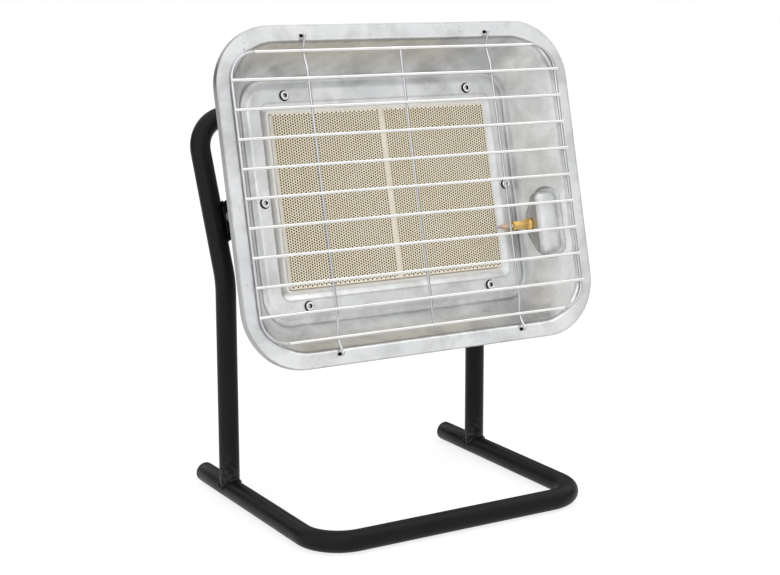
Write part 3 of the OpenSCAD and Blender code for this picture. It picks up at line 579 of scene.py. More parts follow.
class Wiring:
    """Places and links the nodes of one material or node group."""

    def __init__(self, tree: Tree) -> None:
        """Starts on a tree."""
        self.tree = tree

    def add(self, kind: str, sockets: dict[str | int, object] | None = None, **settings: object) -> Node:
        """Adds a node.

        Args:
            kind: Blender's type name of the node.
            sockets: Values or source sockets for its inputs.
            settings: Attributes of the node.

        Returns:
            The new node.
        """
        node = self.tree.nodes.new(kind)
        for key, value in settings.items():
            setattr(node, key, value)
        self.feed(node, sockets or {})
        return node

    def feed(self, node: Node, sockets: dict[str | int, object]) -> None:
        """Links source sockets to a node's inputs and sets plain values on them.

        Args:
            node: The node.
            sockets: Values or source sockets for its inputs.
        """
        for key, value in sockets.items():
            if isinstance(value, Socket):
                self.tree.links.new(value, node.inputs[key])
            else:
                node.inputs[key].default_value = value

    def maths(self, operation: str, first: object, second: object = 0.5, clamp: bool = False) -> Socket:
        """Adds a Math node and gives its value.

        Args:
            operation: Name of the operation.
            first: First number or socket.
            second: Second number or socket.
            clamp: Whether the result is held between 0 and 1.

        Returns:
            The result's socket.
        """
        node = self.add("ShaderNodeMath", {0: first, 1: second}, operation=operation, use_clamp=clamp)
        return node.outputs[0]

    def times(self, first: object, second: object, clamp: bool = False) -> Socket:
        """The product of two numbers or sockets."""
        return self.maths("MULTIPLY", first, second, clamp)

    def plus(self, first: object, second: object, clamp: bool = False) -> Socket:
        """The sum of two numbers or sockets."""
        return self.maths("ADD", first, second, clamp)

    def noise(self, vector: Socket, scale: object, detail: float = 3.0,
              rough: float = 0.55, warp: float = 0.0) -> Socket:
        """Adds a noise texture and gives its factor.

        Args:
            vector: Coordinates.
            scale: Its scale, a number or socket.
            detail: Octaves.
            rough: Roughness of the octaves.
            warp: Distortion.

        Returns:
            The factor's socket.
        """
        node = self.add("ShaderNodeTexNoise", {"Vector": vector, "Scale": scale, "Detail": detail,
                                               "Roughness": rough, "Distortion": warp})
        return node.outputs["Fac"]

    def remap(self, value: object, low: object, high: object, to_low: object = 0.0,
              to_high: object = 1.0) -> Socket:
        """Adds a clamped Map Range node.

        Args:
            value: The number to map.
            low: Start of its range.
            high: End of its range.
            to_low: What the start becomes.
            to_high: What the end becomes.

        Returns:
            The result's socket.
        """
        node = self.add("ShaderNodeMapRange", {"Value": value, "From Min": low, "From Max": high,
                                               "To Min": to_low, "To Max": to_high})
        return node.outputs["Result"]

    def blend(self, factor: object, first: object, second: object) -> Socket:
        """Mixes two colours."""
        node = self.add("ShaderNodeMix", {0: factor, 6: first, 7: second}, data_type="RGBA", blend_type="MIX")
        return node.outputs[2]

    def effect(self, tree: Tree, coords: Socket, **values: object) -> Socket:
        """Places a shared effect and gives its result."""
        sockets = {key.replace("_", " "): value for key, value in values.items()}
        return self.add("ShaderNodeGroup", {"Vector": coords, **sockets}, node_tree=tree).outputs[0]

    def seen(self, path: Node) -> Socket:
        """Adds the mask of what the camera sees, straight, mirrored or through glass."""
        mirrored = self.maths("MAXIMUM", path.outputs["Is Glossy Ray"], path.outputs["Is Transmission Ray"])
        return self.maths("MAXIMUM", path.outputs["Is Camera Ray"], mirrored)


def colour(red: float, green: float | None = None, blue: float | None = None) -> tuple[float, ...]:
    """A colour with full alpha."""
    if green is None or blue is None:
        return (red, red, red, 1.0)
    return (red, green, blue, 1.0)


def new_group(name: str, output: str, inputs: dict[str, float]) -> tuple[Wiring, bpy.types.NodeOutputs, Node]:
    """Makes a shader group that takes coordinates and numbers and gives one number.

    Args:
        name: The group's name.
        output: Name of its result.
        inputs: Name and default of each number.

    Returns:
        The group's wiring, its inputs' sockets and its output node.
    """
    tree = bpy.data.node_groups.new(name, "ShaderNodeTree")
    tree.interface.new_socket("Vector", in_out="INPUT", socket_type="NodeSocketVector")
    for label, default in inputs.items():
        socket = tree.interface.new_socket(label, in_out="INPUT", socket_type="NodeSocketFloat")
        socket.default_value = default
    tree.interface.new_socket(output, in_out="OUTPUT", socket_type="NodeSocketFloat")
    wiring = Wiring(tree)
    return wiring, wiring.add("NodeGroupInput").outputs, wiring.add("NodeGroupOutput")


class Effects:
    """Surface effects that several finishes share, each one node group."""

    def __init__(self) -> None:
        """Builds the groups."""
        self.cloud = self._cloud()
        self.hairlines = self._hairlines()
        self.specks = self._specks()
        self.worn_edge = self._worn_edge()
        self.orange_peel = self._orange_peel()
        self.frame_band = self._frame_band()

    @staticmethod
    def _cloud() -> Tree:
        """Soft, uneven patches from one value to another."""
        w, given, sink = new_group("cloud", "Value", {"Scale": 20, "Low": 0, "High": 1})
        broad = w.noise(given["Vector"], given["Scale"], 4.0, 0.6, 0.4)
        w.feed(sink, {0: w.remap(broad, 0.3, 0.7, given["Low"], given["High"])})
        return w.tree

    @staticmethod
    def _hairlines() -> Tree:
        """Fine scratches in two directions."""
        w, given, sink = new_group("hairlines", "Mask", {"Scale": 300, "Stretch": 0.05, "Cover": 0.3})
        masks = []
        for angle in (0.45, -0.9):
            sockets = {"Vector": given["Vector"], "Axis": (0.0, 1.0, 0.0), "Angle": angle}
            turned_vector = w.add("ShaderNodeVectorRotate", sockets, rotation_type="AXIS_ANGLE").outputs[0]
            squeeze = w.add("ShaderNodeCombineXYZ", {"X": given["Stretch"], "Y": 1.0, "Z": 1.0}).outputs[0]
            scaled = w.add("ShaderNodeVectorMath", {0: turned_vector, 1: squeeze}, operation="MULTIPLY")
            lines = w.noise(scaled.outputs[0], given["Scale"], 2.0, 0.5, 0.15)
            low = w.maths("SUBTRACT", 0.78, w.times(given["Cover"], 0.3))
            masks.append(w.remap(lines, low, w.plus(low, 0.05)))
        patch = w.noise(given["Vector"], 40.0, 2.0)
        w.feed(sink, {0: w.times(w.maths("MAXIMUM", *masks), w.remap(patch, 0.35, 0.65, 0.15, 1.0))})
        return w.tree

    @staticmethod
    def _specks() -> Tree:
        """Small scattered spots."""
        w, given, sink = new_group("specks", "Mask", {"Scale": 200, "Size": 0.2, "Share": 0.2})
        bent = w.noise(given["Vector"], w.times(given["Scale"], 2.2), 2.0)
        sockets = {"Vector": given["Vector"], "Scale": given["Scale"]}
        cells = w.add("ShaderNodeTexVoronoi", sockets, feature="F1").outputs
        distance = w.plus(cells["Distance"], w.times(bent, 0.25))
        spot = w.remap(distance, w.plus(given["Size"], 0.1), w.plus(given["Size"], 0.18), 1.0, 0.0)
        pick = w.add("ShaderNodeSeparateColor", {"Color": cells["Color"]}).outputs[0]
        w.feed(sink, {0: w.times(spot, w.maths("LESS_THAN", pick, given["Share"]))})
        return w.tree

    @staticmethod
    def _worn_edge() -> Tree:
        """A broken mask along convex edges."""
        w, given, sink = new_group("worn_edge", "Mask", {"Amount": 0.5})
        edge = w.remap(w.add("ShaderNodeNewGeometry").outputs["Pointiness"], 0.52, 0.6)
        broken = w.noise(given["Vector"], 260.0, 4.0, 0.7)
        mask = w.times(edge, w.remap(broken, 0.45, 0.62))
        w.feed(sink, {0: w.times(mask, given["Amount"], True)})
        return w.tree

    @staticmethod
    def _orange_peel() -> Tree:
        """The height of a sprayed or cast skin."""
        w, given, sink = new_group("orange_peel", "Height", {"Scale": 600})
        fine = w.noise(given["Vector"], given["Scale"], 2.0)
        broad = w.noise(given["Vector"], w.times(given["Scale"], 0.2), 2.0)
        w.feed(sink, {0: w.plus(fine, w.times(broad, 0.6))})
        return w.tree

    @staticmethod
    def _frame_band() -> Tree:
        """A soft, slightly broken line along a rounded rectangle on the reflector."""
        w, given, sink = new_group(
            "frame_band", "Mask", {"Centre": 0, "Half X": 0.1, "Half Z": 0.1, "Corner": 0.01, "Width": 0.002})
        axes = w.add("ShaderNodeSeparateXYZ", {"Vector": given["Vector"]}).outputs
        corner = given["Corner"]
        out_x = w.maths("SUBTRACT", w.maths("ABSOLUTE", axes["X"]),
                        w.maths("SUBTRACT", given["Half X"], corner))
        up = w.maths("ABSOLUTE", w.maths("SUBTRACT", axes["Z"], given["Centre"]))
        out_z = w.maths("SUBTRACT", up, w.maths("SUBTRACT", given["Half Z"], corner))
        round_part = [w.maths("POWER", w.maths("MAXIMUM", part, 0.0), 2.0) for part in (out_x, out_z)]
        outside = w.maths("SQRT", w.plus(*round_part))
        inside = w.maths("MINIMUM", w.maths("MAXIMUM", out_x, out_z), 0.0)
        gap = w.maths("ABSOLUTE", w.maths("SUBTRACT", w.plus(outside, inside), corner))
        broken = w.noise(given["Vector"], 120.0, 3.0)
        reach = w.times(given["Width"], w.remap(broken, 0.35, 0.65, 0.75, 1.2))
        w.feed(sink, {0: w.remap(w.maths("DIVIDE", gap, reach), 0.25, 1.0, 1.0, 0.0)})
        return w.tree


EFFECTS = Effects()


# ---------------------------------------------------------------- finishes


@dataclass(frozen=True)
class Finish:
    """A finish that builds its own material.

    Attributes:
        title: The material's name.
        shared_slot: The record's slot that its pieces take their class from, where it has another name.
    """

    title: str
    shared_slot: str = ""

    @property
    def slot(self) -> str:
        """The record's slot of the finish."""
        return self.shared_slot or self.title

    def start(self, tilt: float = 0.0) -> tuple[Material, Wiring, Socket, Node]:
        """Makes an empty material.

        Args:
            tilt: Angle in degrees by which the pattern leans back.

        Returns:
            The material, its wiring, the coordinates and the main shader.
        """
        material = bpy.data.materials.new(self.title)
        material.use_nodes = True
        material.node_tree.nodes.clear()
        w = Wiring(material.node_tree)
        coords = w.add("ShaderNodeTexCoord").outputs["Object"]
        if tilt:
            sockets = {"Vector": coords, "Rotation": (math.radians(tilt), 0, 0)}
            coords = w.add("ShaderNodeMapping", sockets).outputs[0]
        shader = w.add("ShaderNodeBsdfPrincipled")
        output = w.add("ShaderNodeOutputMaterial")
        material.node_tree.links.new(shader.outputs[0], output.inputs[0])
        return material, w, coords, shader

    def build(self) -> Material:
        """Builds the material."""
        raise NotImplementedError

    @staticmethod
    def bump(w: Wiring, shader: Node, heights: Sequence[tuple[object, float]]) -> None:
        """Stacks bumps and feeds them to the shader's normal.

        Args:
            w: The material's wiring.
            shader: The main shader.
            heights: Height sockets, each with how far it stands out in millimetres.
        """
        normal = None
        for height, distance in heights:
            sockets = {"Height": height, "Distance": distance * MM, "Strength": 1.0}
            if normal is not None:
                sockets["Normal"] = normal
            normal = w.add("ShaderNodeBump", sockets).outputs["Normal"]
        w.feed(shader, {"Normal": normal})


@dataclass(frozen=True)
class BareSheet(Finish):
    """Drawn bright sheet with scuffs, pits and soft dents, and painted shade lines along its folds.

    Attributes:
        dark: Colour of its dull patches.
        light: Colour of its bright patches.
        rough: Roughness at the least.
        tilt: Lean of its pattern.
        spangle: How much crystal pattern a dipped coating shows.
        centre: Height of the sheet's middle in the leaning pattern's frame, in millimetres.
        shade_lines: Half width, half height, corner, width and strength of each painted shade line along the
            sheet's folds, where shade and dark reflections fall.
        seal: The same for the white edge of the fibre seal round its window.
    """

    dark: Colour = (0.66, 0.67, 0.68)
    light: Colour = (0.83, 0.835, 0.84)
    rough: float = 0.34
    tilt: float = HEAD_LEAN
    spangle: float = 0.0
    centre: float = 233.21
    shade_lines: tuple[tuple[float, float, float, float, float], ...] = ()
    seal: tuple[tuple[float, float, float, float, float], ...] = ()

    def build(self) -> Material:
        """Builds the material."""
        material, w, coords, shader = self.start(self.tilt)
        patches = w.effect(EFFECTS.cloud, coords, Scale=16.0, Low=0.0, High=1.0)
        tone = w.blend(patches, colour(*self.dark), colour(*self.light))
        lines = w.effect(EFFECTS.hairlines, coords, Scale=420.0, Stretch=0.04, Cover=0.32)
        broad = w.effect(EFFECTS.hairlines, coords, Scale=120.0, Stretch=0.10, Cover=0.22)
        pits = w.effect(EFFECTS.specks, coords, Scale=250.0, Size=0.08, Share=0.20)
        stains = w.effect(EFFECTS.cloud, coords, Scale=44.0, Low=-0.6, High=1.1)
        tone = w.blend(w.times(stains, 0.55, True), tone, colour(0.45, 0.45, 0.44))
        tone = w.blend(w.times(lines, 0.25), tone, colour(0.86, 0.86, 0.86))
        tone = w.blend(w.times(broad, 0.22), tone, colour(0.42, 0.42, 0.41))
        tone = w.blend(w.times(pits, 0.75), tone, colour(0.16, 0.15, 0.14))
        if self.spangle:
            cells = w.add("ShaderNodeTexVoronoi", {"Vector": coords, "Scale": 170.0}, feature="F1")
            grey = w.add("ShaderNodeSeparateColor", {"Color": cells.outputs["Color"]}).outputs[1]
            tone = w.blend(w.times(grey, self.spangle), tone, colour(0.40, 0.41, 0.42))
        # Painted shade: a dark line along each fold, where shade and dark reflections fall.
        for shade_line in self.shade_lines:
            tone = w.blend(self.band(w, coords, shade_line), tone, colour(0.10, 0.10, 0.095))
        metal = w.maths("SUBTRACT", 1.0, w.times(pits, 0.6))
        dull = w.plus(w.times(patches, -0.08), self.rough + 0.08)
        dull = w.plus(dull, w.times(lines, 0.12), True)
        for edge in self.seal:
            mask = self.band(w, coords, edge)
            tone = w.blend(mask, tone, colour(0.93, 0.91, 0.87))
            metal = w.maths("SUBTRACT", metal, mask, True)
            dull = w.plus(dull, w.times(mask, 0.5), True)
        w.feed(shader, {"Base Color": tone, "Roughness": dull, "Metallic": metal})
        waves = w.noise(coords, 34.0, 2.0, 0.5)
        self.bump(w, shader, [(waves, 0.35), (lines, 0.012), (pits, -0.05)])
        return material

    def band(self, w: Wiring, coords: Socket, line: tuple[float, ...]) -> Socket:
        """Adds the mask of a line round the sheet."""
        half_x, half_z, corner, width = (v * MM for v in line[:4])
        mask = w.effect(EFFECTS.frame_band, coords, Centre=self.centre * MM, Half_X=half_x, Half_Z=half_z,
                        Corner=corner, Width=width)
        return w.times(mask, line[4])


@dataclass(frozen=True)
class PlatedSteel(Finish):
    """Plated steel, from bright wire to dull fasteners.

    Attributes:
        base: Its colour.
        stain: Colour of its stains.
        rough: Roughness at the least.
        lines: How strongly drawing marks show.
    """

    base: Colour = (0.86, 0.87, 0.87)
    stain: Colour = (0.55, 0.55, 0.54)
    rough: float = 0.22
    lines: float = 0.25

    def build(self) -> Material:
        """Builds the material."""
        material, w, coords, shader = self.start()
        patches = w.effect(EFFECTS.cloud, coords, Scale=70.0, Low=0.0, High=1.0)
        marks = w.effect(EFFECTS.hairlines, coords, Scale=900.0, Stretch=0.08, Cover=0.35)
        spots = w.effect(EFFECTS.specks, coords, Scale=420.0, Size=0.05, Share=0.12)
        tone = w.blend(w.times(patches, 0.35), colour(*self.base), colour(*self.stain))
        tone = w.blend(w.times(marks, self.lines), tone, colour(*self.stain))
        tone = w.blend(w.times(spots, 0.5), tone, colour(0.25, 0.24, 0.22))
        w.feed(shader, {"Base Color": tone, "Metallic": 1.0})
        dull = w.plus(w.times(patches, 0.12), self.rough)
        w.feed(shader, {"Roughness": w.plus(dull, w.times(spots, 0.25), True)})
        self.bump(w, shader, [(marks, 0.006), (spots, -0.02)])
        return material


@dataclass(frozen=True)
class BakedPaint(Finish):
    """Baked black paint on steel, a little dusty, rubbed bare on its edges.

    Attributes:
        base: Paint colour.
        rough: Roughness at the least.
        wear: How much bare metal shows on edges.
    """

    base: Colour = (0.0055, 0.0058, 0.0062)
    rough: float = 0.34
    wear: float = 0.3

    def build(self) -> Material:
        """Builds the material."""
        material, w, coords, shader = self.start()
        dust = w.effect(EFFECTS.cloud, coords, Scale=24.0, Low=0.0, High=1.0)
        scratches = w.effect(EFFECTS.hairlines, coords, Scale=350.0, Stretch=0.05, Cover=0.2)
        edge = w.effect(EFFECTS.worn_edge, coords, Amount=self.wear)
        peel = w.effect(EFFECTS.orange_peel, coords, Scale=900.0)
        tone = w.blend(w.times(dust, 0.25), colour(*self.base), colour(0.018, 0.018, 0.0185))
        tone = w.blend(w.times(scratches, 0.14), tone, colour(0.08, 0.08, 0.08))
        tone = w.blend(edge, tone, colour(0.28, 0.27, 0.26))
        w.feed(shader, {"Base Color": tone, "Metallic": w.times(edge, 0.8)})
        dull = w.plus(w.times(dust, 0.14), self.rough)
        w.feed(shader, {"Roughness": w.plus(dull, w.times(scratches, 0.2), True), "Specular IOR Level": 0.12})
        self.bump(w, shader, [(peel, 0.018), (scratches, -0.006)])
        return material


@dataclass(frozen=True)
class Ceramic(Finish):
    """Porous cordierite plaque, cream with browner patches.

    Attributes:
        pale: Its cleanest colour.
        toast: Its browned colour.
    """

    pale: Colour = (0.84, 0.77, 0.61)
    toast: Colour = (0.74, 0.60, 0.40)

    def build(self) -> Material:
        """Builds the material."""
        material, w, coords, shader = self.start(HEAD_LEAN)
        patches = w.effect(EFFECTS.cloud, coords, Scale=38.0, Low=0.0, High=1.0)
        grain = w.noise(coords, 1100.0, 3.0, 0.7)
        toasted = w.times(w.times(patches, w.remap(grain, 0.3, 0.7)), 0.75)
        tone = w.blend(toasted, colour(*self.pale), colour(*self.toast))
        motes = w.effect(EFFECTS.specks, coords, Scale=520.0, Size=0.08, Share=0.14)
        tone = w.blend(w.times(motes, 0.4), tone, colour(0.45, 0.30, 0.17))
        w.feed(shader, {"Base Color": tone, "Roughness": 0.92, "Specular IOR Level": 0.2})
        self.bump(w, shader, [(grain, 0.05)])
        return material


@dataclass(frozen=True)
class Fibre(Finish):
    """Matted ceramic fibre.

    Attributes:
        pale: Its colour.
        shade: Its colour between the strands.
    """

    pale: Colour = (0.86, 0.82, 0.72)
    shade: Colour = (0.62, 0.55, 0.43)

    def build(self) -> Material:
        """Builds the material."""
        material, w, coords, shader = self.start(HEAD_LEAN)
        strands = w.effect(EFFECTS.hairlines, coords, Scale=1500.0, Stretch=0.15, Cover=0.9)
        lumps = w.effect(EFFECTS.cloud, coords, Scale=160.0, Low=0.0, High=1.0)
        tone = w.blend(w.times(lumps, 0.55), colour(*self.pale), colour(*self.shade))
        tone = w.blend(w.times(strands, 0.3), tone, colour(0.93, 0.9, 0.82))
        w.feed(shader, {"Base Color": tone, "Roughness": 0.95, "Specular IOR Level": 0.1})
        self.bump(w, shader, [(lumps, 0.15), (strands, 0.04)])
        return material


@dataclass(frozen=True)
class WarmMetal(Finish):
    """Turned brass or drawn copper with darker tarnish.

    Attributes:
        bright: Colour where it is clean.
        tarnish: Colour where it is dull.
        rough: Roughness at the least.
    """

    bright: Colour = (0.86, 0.58, 0.20)
    tarnish: Colour = (0.42, 0.25, 0.09)
    rough: float = 0.24

    def build(self) -> Material:
        """Builds the material."""
        material, w, coords, shader = self.start()
        patches = w.effect(EFFECTS.cloud, coords, Scale=120.0, Low=0.0, High=0.7)
        marks = w.effect(EFFECTS.hairlines, coords, Scale=1300.0, Stretch=0.06, Cover=0.5)
        spots = w.effect(EFFECTS.specks, coords, Scale=600.0, Size=0.06, Share=0.2)
        tone = w.blend(w.times(patches, 0.6), colour(*self.bright), colour(*self.tarnish))
        tone = w.blend(w.times(spots, 0.6), tone, colour(0.16, 0.09, 0.04))
        w.feed(shader, {"Base Color": tone, "Metallic": 1.0})
        dull = w.plus(w.times(patches, 0.25), self.rough)
        w.feed(shader, {"Roughness": w.plus(dull, w.times(marks, 0.12), True)})
        self.bump(w, shader, [(marks, 0.005), (spots, -0.015)])
        return material


@dataclass(frozen=True)
class Moulded(Finish):
    """Moulded plastic or rubber.

    Attributes:
        base: Its colour.
        rough: Roughness at the least.
        coat: Strength of a clear gloss over it.
        grain: Scale of its moulded skin.
    """

    base: Colour = (0.02, 0.02, 0.02)
    rough: float = 0.5
    coat: float = 0.0
    grain: float = 900.0

    def build(self) -> Material:
        """Builds the material."""
        material, w, coords, shader = self.start()
        dust = w.effect(EFFECTS.cloud, coords, Scale=60.0, Low=0.0, High=1.0)
        scuffs = w.effect(EFFECTS.hairlines, coords, Scale=700.0, Stretch=0.08, Cover=0.25)
        peel = w.effect(EFFECTS.orange_peel, coords, Scale=self.grain)
        worn = tuple(min(1.0, c * 1.5 + 0.02) for c in self.base)
        tone = w.blend(w.times(dust, 0.3), colour(*self.base), colour(*worn))
        tone = w.blend(w.times(scuffs, 0.2), tone, colour(0.35, 0.34, 0.33))
        w.feed(shader, {"Base Color": tone})
        dull = w.plus(w.times(dust, 0.12), self.rough)
        w.feed(shader, {"Roughness": w.plus(dull, w.times(scuffs, 0.2), True), "Coat Weight": self.coat})
        self.bump(w, shader, [(peel, 0.012)])
        return material


@dataclass(frozen=True)
class HeatTinted(Finish):
    """Steel sheath that flame has tinted along its length towards the tip.

    Attributes:
        tip: Place of the tip across the heater in metres.
        root: Place where the tint ends, in metres.
    """

    tip: float = 0.083
    root: float = 0.102

    def build(self) -> Material:
        """Builds the material."""
        material, w, coords, shader = self.start()
        across = w.add("ShaderNodeSeparateXYZ", {"Vector": coords}).outputs["X"]
        wavy = w.plus(across, w.times(w.noise(coords, 300.0, 2.0), 0.003))
        heat = w.remap(wavy, self.tip, self.root, 1.0, 0.0)
        ramp = w.add("ShaderNodeValToRGB", {"Fac": heat})
        stops = ((0.0, (0.62, 0.60, 0.56)), (0.35, (0.66, 0.52, 0.34)), (0.6, (0.52, 0.36, 0.27)),
                 (0.8, (0.40, 0.38, 0.40)), (1.0, (0.62, 0.60, 0.58)))
        ramp.color_ramp.elements[0].position = stops[0][0]
        ramp.color_ramp.elements[0].color = colour(*stops[0][1])
        ramp.color_ramp.elements[1].position = stops[-1][0]
        ramp.color_ramp.elements[1].color = colour(*stops[-1][1])
        for position, value in stops[1:-1]:
            ramp.color_ramp.elements.new(position).color = colour(*value)
        w.feed(shader, {"Base Color": ramp.outputs["Color"], "Metallic": 1.0,
                        "Roughness": w.remap(heat, 0.0, 1.0, 0.24, 0.42)})
        self.bump(w, shader, [(w.noise(coords, 1500.0, 2.0), 0.01)])
        return material


@dataclass(frozen=True)
class PaintedShade(Finish):
    """Painted shade: near-black colour for the shadowed inside of holes, the shaded flanks of rivets and the
    unlit space behind the hook holes.

    Attributes:
        deep: Its darkest colour.
        pale_shade: Its palest colour.
    """

    deep: Colour = (0.012, 0.009, 0.006)
    pale_shade: Colour = (0.045, 0.032, 0.02)

    def build(self) -> Material:
        """Builds the material."""
        material, w, coords, shader = self.start(HEAD_LEAN)
        tone = w.effect(EFFECTS.cloud, coords, Scale=240.0, Low=0.0, High=1.0)
        w.feed(shader, {"Base Color": w.blend(tone, colour(*self.deep), colour(*self.pale_shade)), "Roughness": 1.0,
                        "Specular IOR Level": 0.0})
        return material


class Finishes:
    """Every finish of the heater, built once."""

    def __init__(self) -> None:
        """Builds the materials."""
        kinds: dict[str, Finish] = {
            # The reflector's shade_lines are painted shade along the frame's foot, the mouth, the lip and the
            # window's step.
            "reflector": BareSheet("reflector_sheet",
                                   shade_lines=((117.4, 91.8, 20.8, 2.6, 0.42), (139.6, 112.4, 37.4, 1.3, 0.45),
                                            (152.4, 124.7, 46.0, 1.3, 0.5), (102.0, 74.2, 7.0, 1.2, 0.25)),
                                   seal=((95.3, 67.3, 3.0, 2.8, 1.0),)),
            "casing": BareSheet("casing_sheet", dark=(0.42, 0.42, 0.415), light=(0.54, 0.54, 0.53),
                                rough=0.42, spangle=0.35),
            "guard": PlatedSteel("guard_wire", base=(0.80, 0.80, 0.79), stain=(0.62, 0.62, 0.61),
                                 rough=0.13, lines=0.12),
            # Painted shade: a darker copy of the guard's plating for upright wire, standing in for its darker
            # reflections.
            "shaded_upright": PlatedSteel("guard_upright_shaded", "guard_wire", base=(0.56, 0.56, 0.58), stain=(0.36, 0.36, 0.37),
                                rough=0.12, lines=0.12),
            "rivet": PlatedSteel("rivet_steel", base=(0.80, 0.80, 0.79), stain=(0.42, 0.41, 0.40),
                                 rough=0.16, lines=0.1),
            # Painted shade for the rivets' bores and flanks and for the dark discs behind the hook holes.
            "painted_shade": PaintedShade("rivet_painted_shade", "rivet_steel", deep=(0.012, 0.012, 0.011), pale_shade=(0.035, 0.034, 0.033)),
            "zinc": PlatedSteel("zinc_steel", base=(0.70, 0.71, 0.71), stain=(0.46, 0.46, 0.42),
                                rough=0.3),
            "spring": PlatedSteel("spring_steel", base=(0.62, 0.62, 0.62), stain=(0.4, 0.4, 0.4),
                                  rough=0.22),
            "paint": BakedPaint("black_paint"),
            "bracket": BakedPaint("bracket_paint", rough=0.42, wear=0.6),
            "ceramic": Ceramic("ceramic"),
            # Painted shade for the inside of the burner holes and the floor behind them.
            "hole": PaintedShade("burner_hole", "ceramic"),
            "fibre": Fibre("ceramic_fibre"),
            "wrap": Fibre("fibre_paper", "ceramic_fibre", pale=(0.93, 0.92, 0.89), shade=(0.82, 0.79, 0.73)),
            "brass": WarmMetal("brass"),
            "copper": WarmMetal("copper", bright=(0.78, 0.42, 0.25), tarnish=(0.34, 0.17, 0.10), rough=0.3),
            "probe": HeatTinted("probe_steel"),
            "plug": Moulded("black_plastic", base=(0.016, 0.016, 0.016), rough=0.55),
            "collar": Moulded("collar_plastic", base=(0.022, 0.022, 0.023), rough=0.45),
            "button": Moulded("red_plastic", base=(0.42, 0.018, 0.012), rough=0.28, coat=0.4),
            "rubber": Moulded("rubber", base=(0.018, 0.018, 0.018), rough=0.7),
            "poppet": Moulded("poppet_rubber", base=(0.03, 0.03, 0.03), rough=0.6),
            "washer": Moulded("fibre_washer", base=(0.12, 0.09, 0.07), rough=0.8, grain=1500.0),
        }
        self.slots = {key: kind.slot for key, kind in kinds.items()}
        self.materials = {key: kind.build() for key, kind in kinds.items()}

    def mark(self, part: Piece, keys: Sequence[str],
             rule: Callable[[bpy.types.MeshPolygon], int] | None = None) -> None:
        """Gives a part its materials before it is joined to others."""
        for key in keys:
            part.data.materials.append(self.materials[key])
        for polygon in part.data.polygons if rule else ():
            polygon.material_index = rule(polygon)

    def dress(self, piece: Piece, *keys: str) -> Piece:
        """Gives a piece its materials.

        Args:
            piece: The piece to dress.
            keys: Names of its finishes, the main one first.

        Returns:
            The same piece.
        """
        owners = [polygon.material_index for polygon in piece.data.polygons]
        piece.data.materials.clear()
        for key in keys:
            piece.data.materials.append(self.materials[key])
        if len(keys) > 1:
            piece.data.polygons.foreach_set("material_index", owners)
        return piece


# ---------------------------------------------------------------- the heater


@dataclass
class Heater:
    """Sizes that several sub-assemblies share, in millimetres.

    Attributes:
        post_y: Place of the uprights' centre line.
        pivot_y: Place of the tilting mount's pivot.
        pivot_z: Height of that pivot.
        pivot_depth: Distance of the pivot behind the reflector's rim.
        pivot_drop: Distance of the pivot below the reflector's centre.
        tilt: Lean of the reflector in degrees.
        lean: Lean of the uprights in degrees.
        lean_z: Height at which they start to lean.
        rail_x: Half the distance between the two rails.
        tube_r: Radius of the stand's tube.
        arm_x: Inner face of the right-hand pivot arm.
        arm_t: Thickness of the pivot arms.
        stay_gap: Distance of the guard's hooked uprights from the middle.
        hook_z: Height of their hooks above the reflector's centre.
        finishes: Every finish.
    """

    post_y: float = 51.240378
    pivot_y: float = 55.222255
    pivot_z: float = 223.488834
    pivot_depth: float = 100.0
    pivot_drop: float = 3.0
    tilt: float = HEAD_LEAN
    lean: float = 23.4
    lean_z: float = 174.0
    rail_x: float = 115.5
    tube_r: float = 8.0
    arm_x: float = 104.3
    arm_t: float = 3.0
    stay_gap: float = 80.0
    hook_z: float = 117.0
    finishes: Finishes = field(default_factory=Finishes)

    def head(self) -> Matrix:
        """The reflector's own frame: X across, Y behind the rim, Z up the reflector."""
        to_rim = at(0, -self.pivot_depth, self.pivot_drop)
        return at(0, self.pivot_y, self.pivot_z) @ turned(-self.tilt, "X") @ to_rim

    def leaning(self) -> Matrix:
        """The leaning part's frame: origin where the uprights start to lean, Z up along them."""
        return at(0, self.post_y, self.lean_z) @ turned(-self.lean, "X")

    def in_head(self, x: float, y: float, z: float, turn: Matrix | None = None) -> Matrix:
        """A place in the reflector's frame.

        Args:
            x: Across.
            y: Behind the rim.
            z: Up the reflector.
            turn: A turn about that place.

        Returns:
            The matrix from a piece's own frame to the heater's.
        """
        return self.head() @ at(x, y, z) @ (turn or Matrix.Identity(4))

    def finish(self, piece: Piece, body: str, nodes: Iterable[str], *keys: str) -> Piece:
        """Dresses a piece, lets it ride on its body and stand for CAD nodes.

        Args:
            piece: The finished mesh.
            body: The body that it rides on.
            nodes: The CAD nodes that it stands for.
            keys: Its finishes.

        Returns:
            The same piece.
        """
        self.finishes.dress(piece, *keys)
        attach(piece, body)
        if nodes:
            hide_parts(*nodes)
        LOG.info("%s: %d faces, rides on %s", piece.name, len(piece.data.polygons), body)
        return piece

    def keep(self, node: str, key: str) -> None:
        """Leaves a CAD node in place and gives it a finish."""
        self.finishes.dress(frame["nodes"][node], key)
        LOG.info("%s: kept from the frame", node)


X_AXIS = turned(90, "Y")
Y_AXIS = turned(-90, "X")
MINUS_X = turned(-90, "Y")


@dataclass
class Assembly:
    """A group of pieces that is built together.

    Attributes:
        heater: The sizes and finishes that all groups share.
    """

    heater: Heater


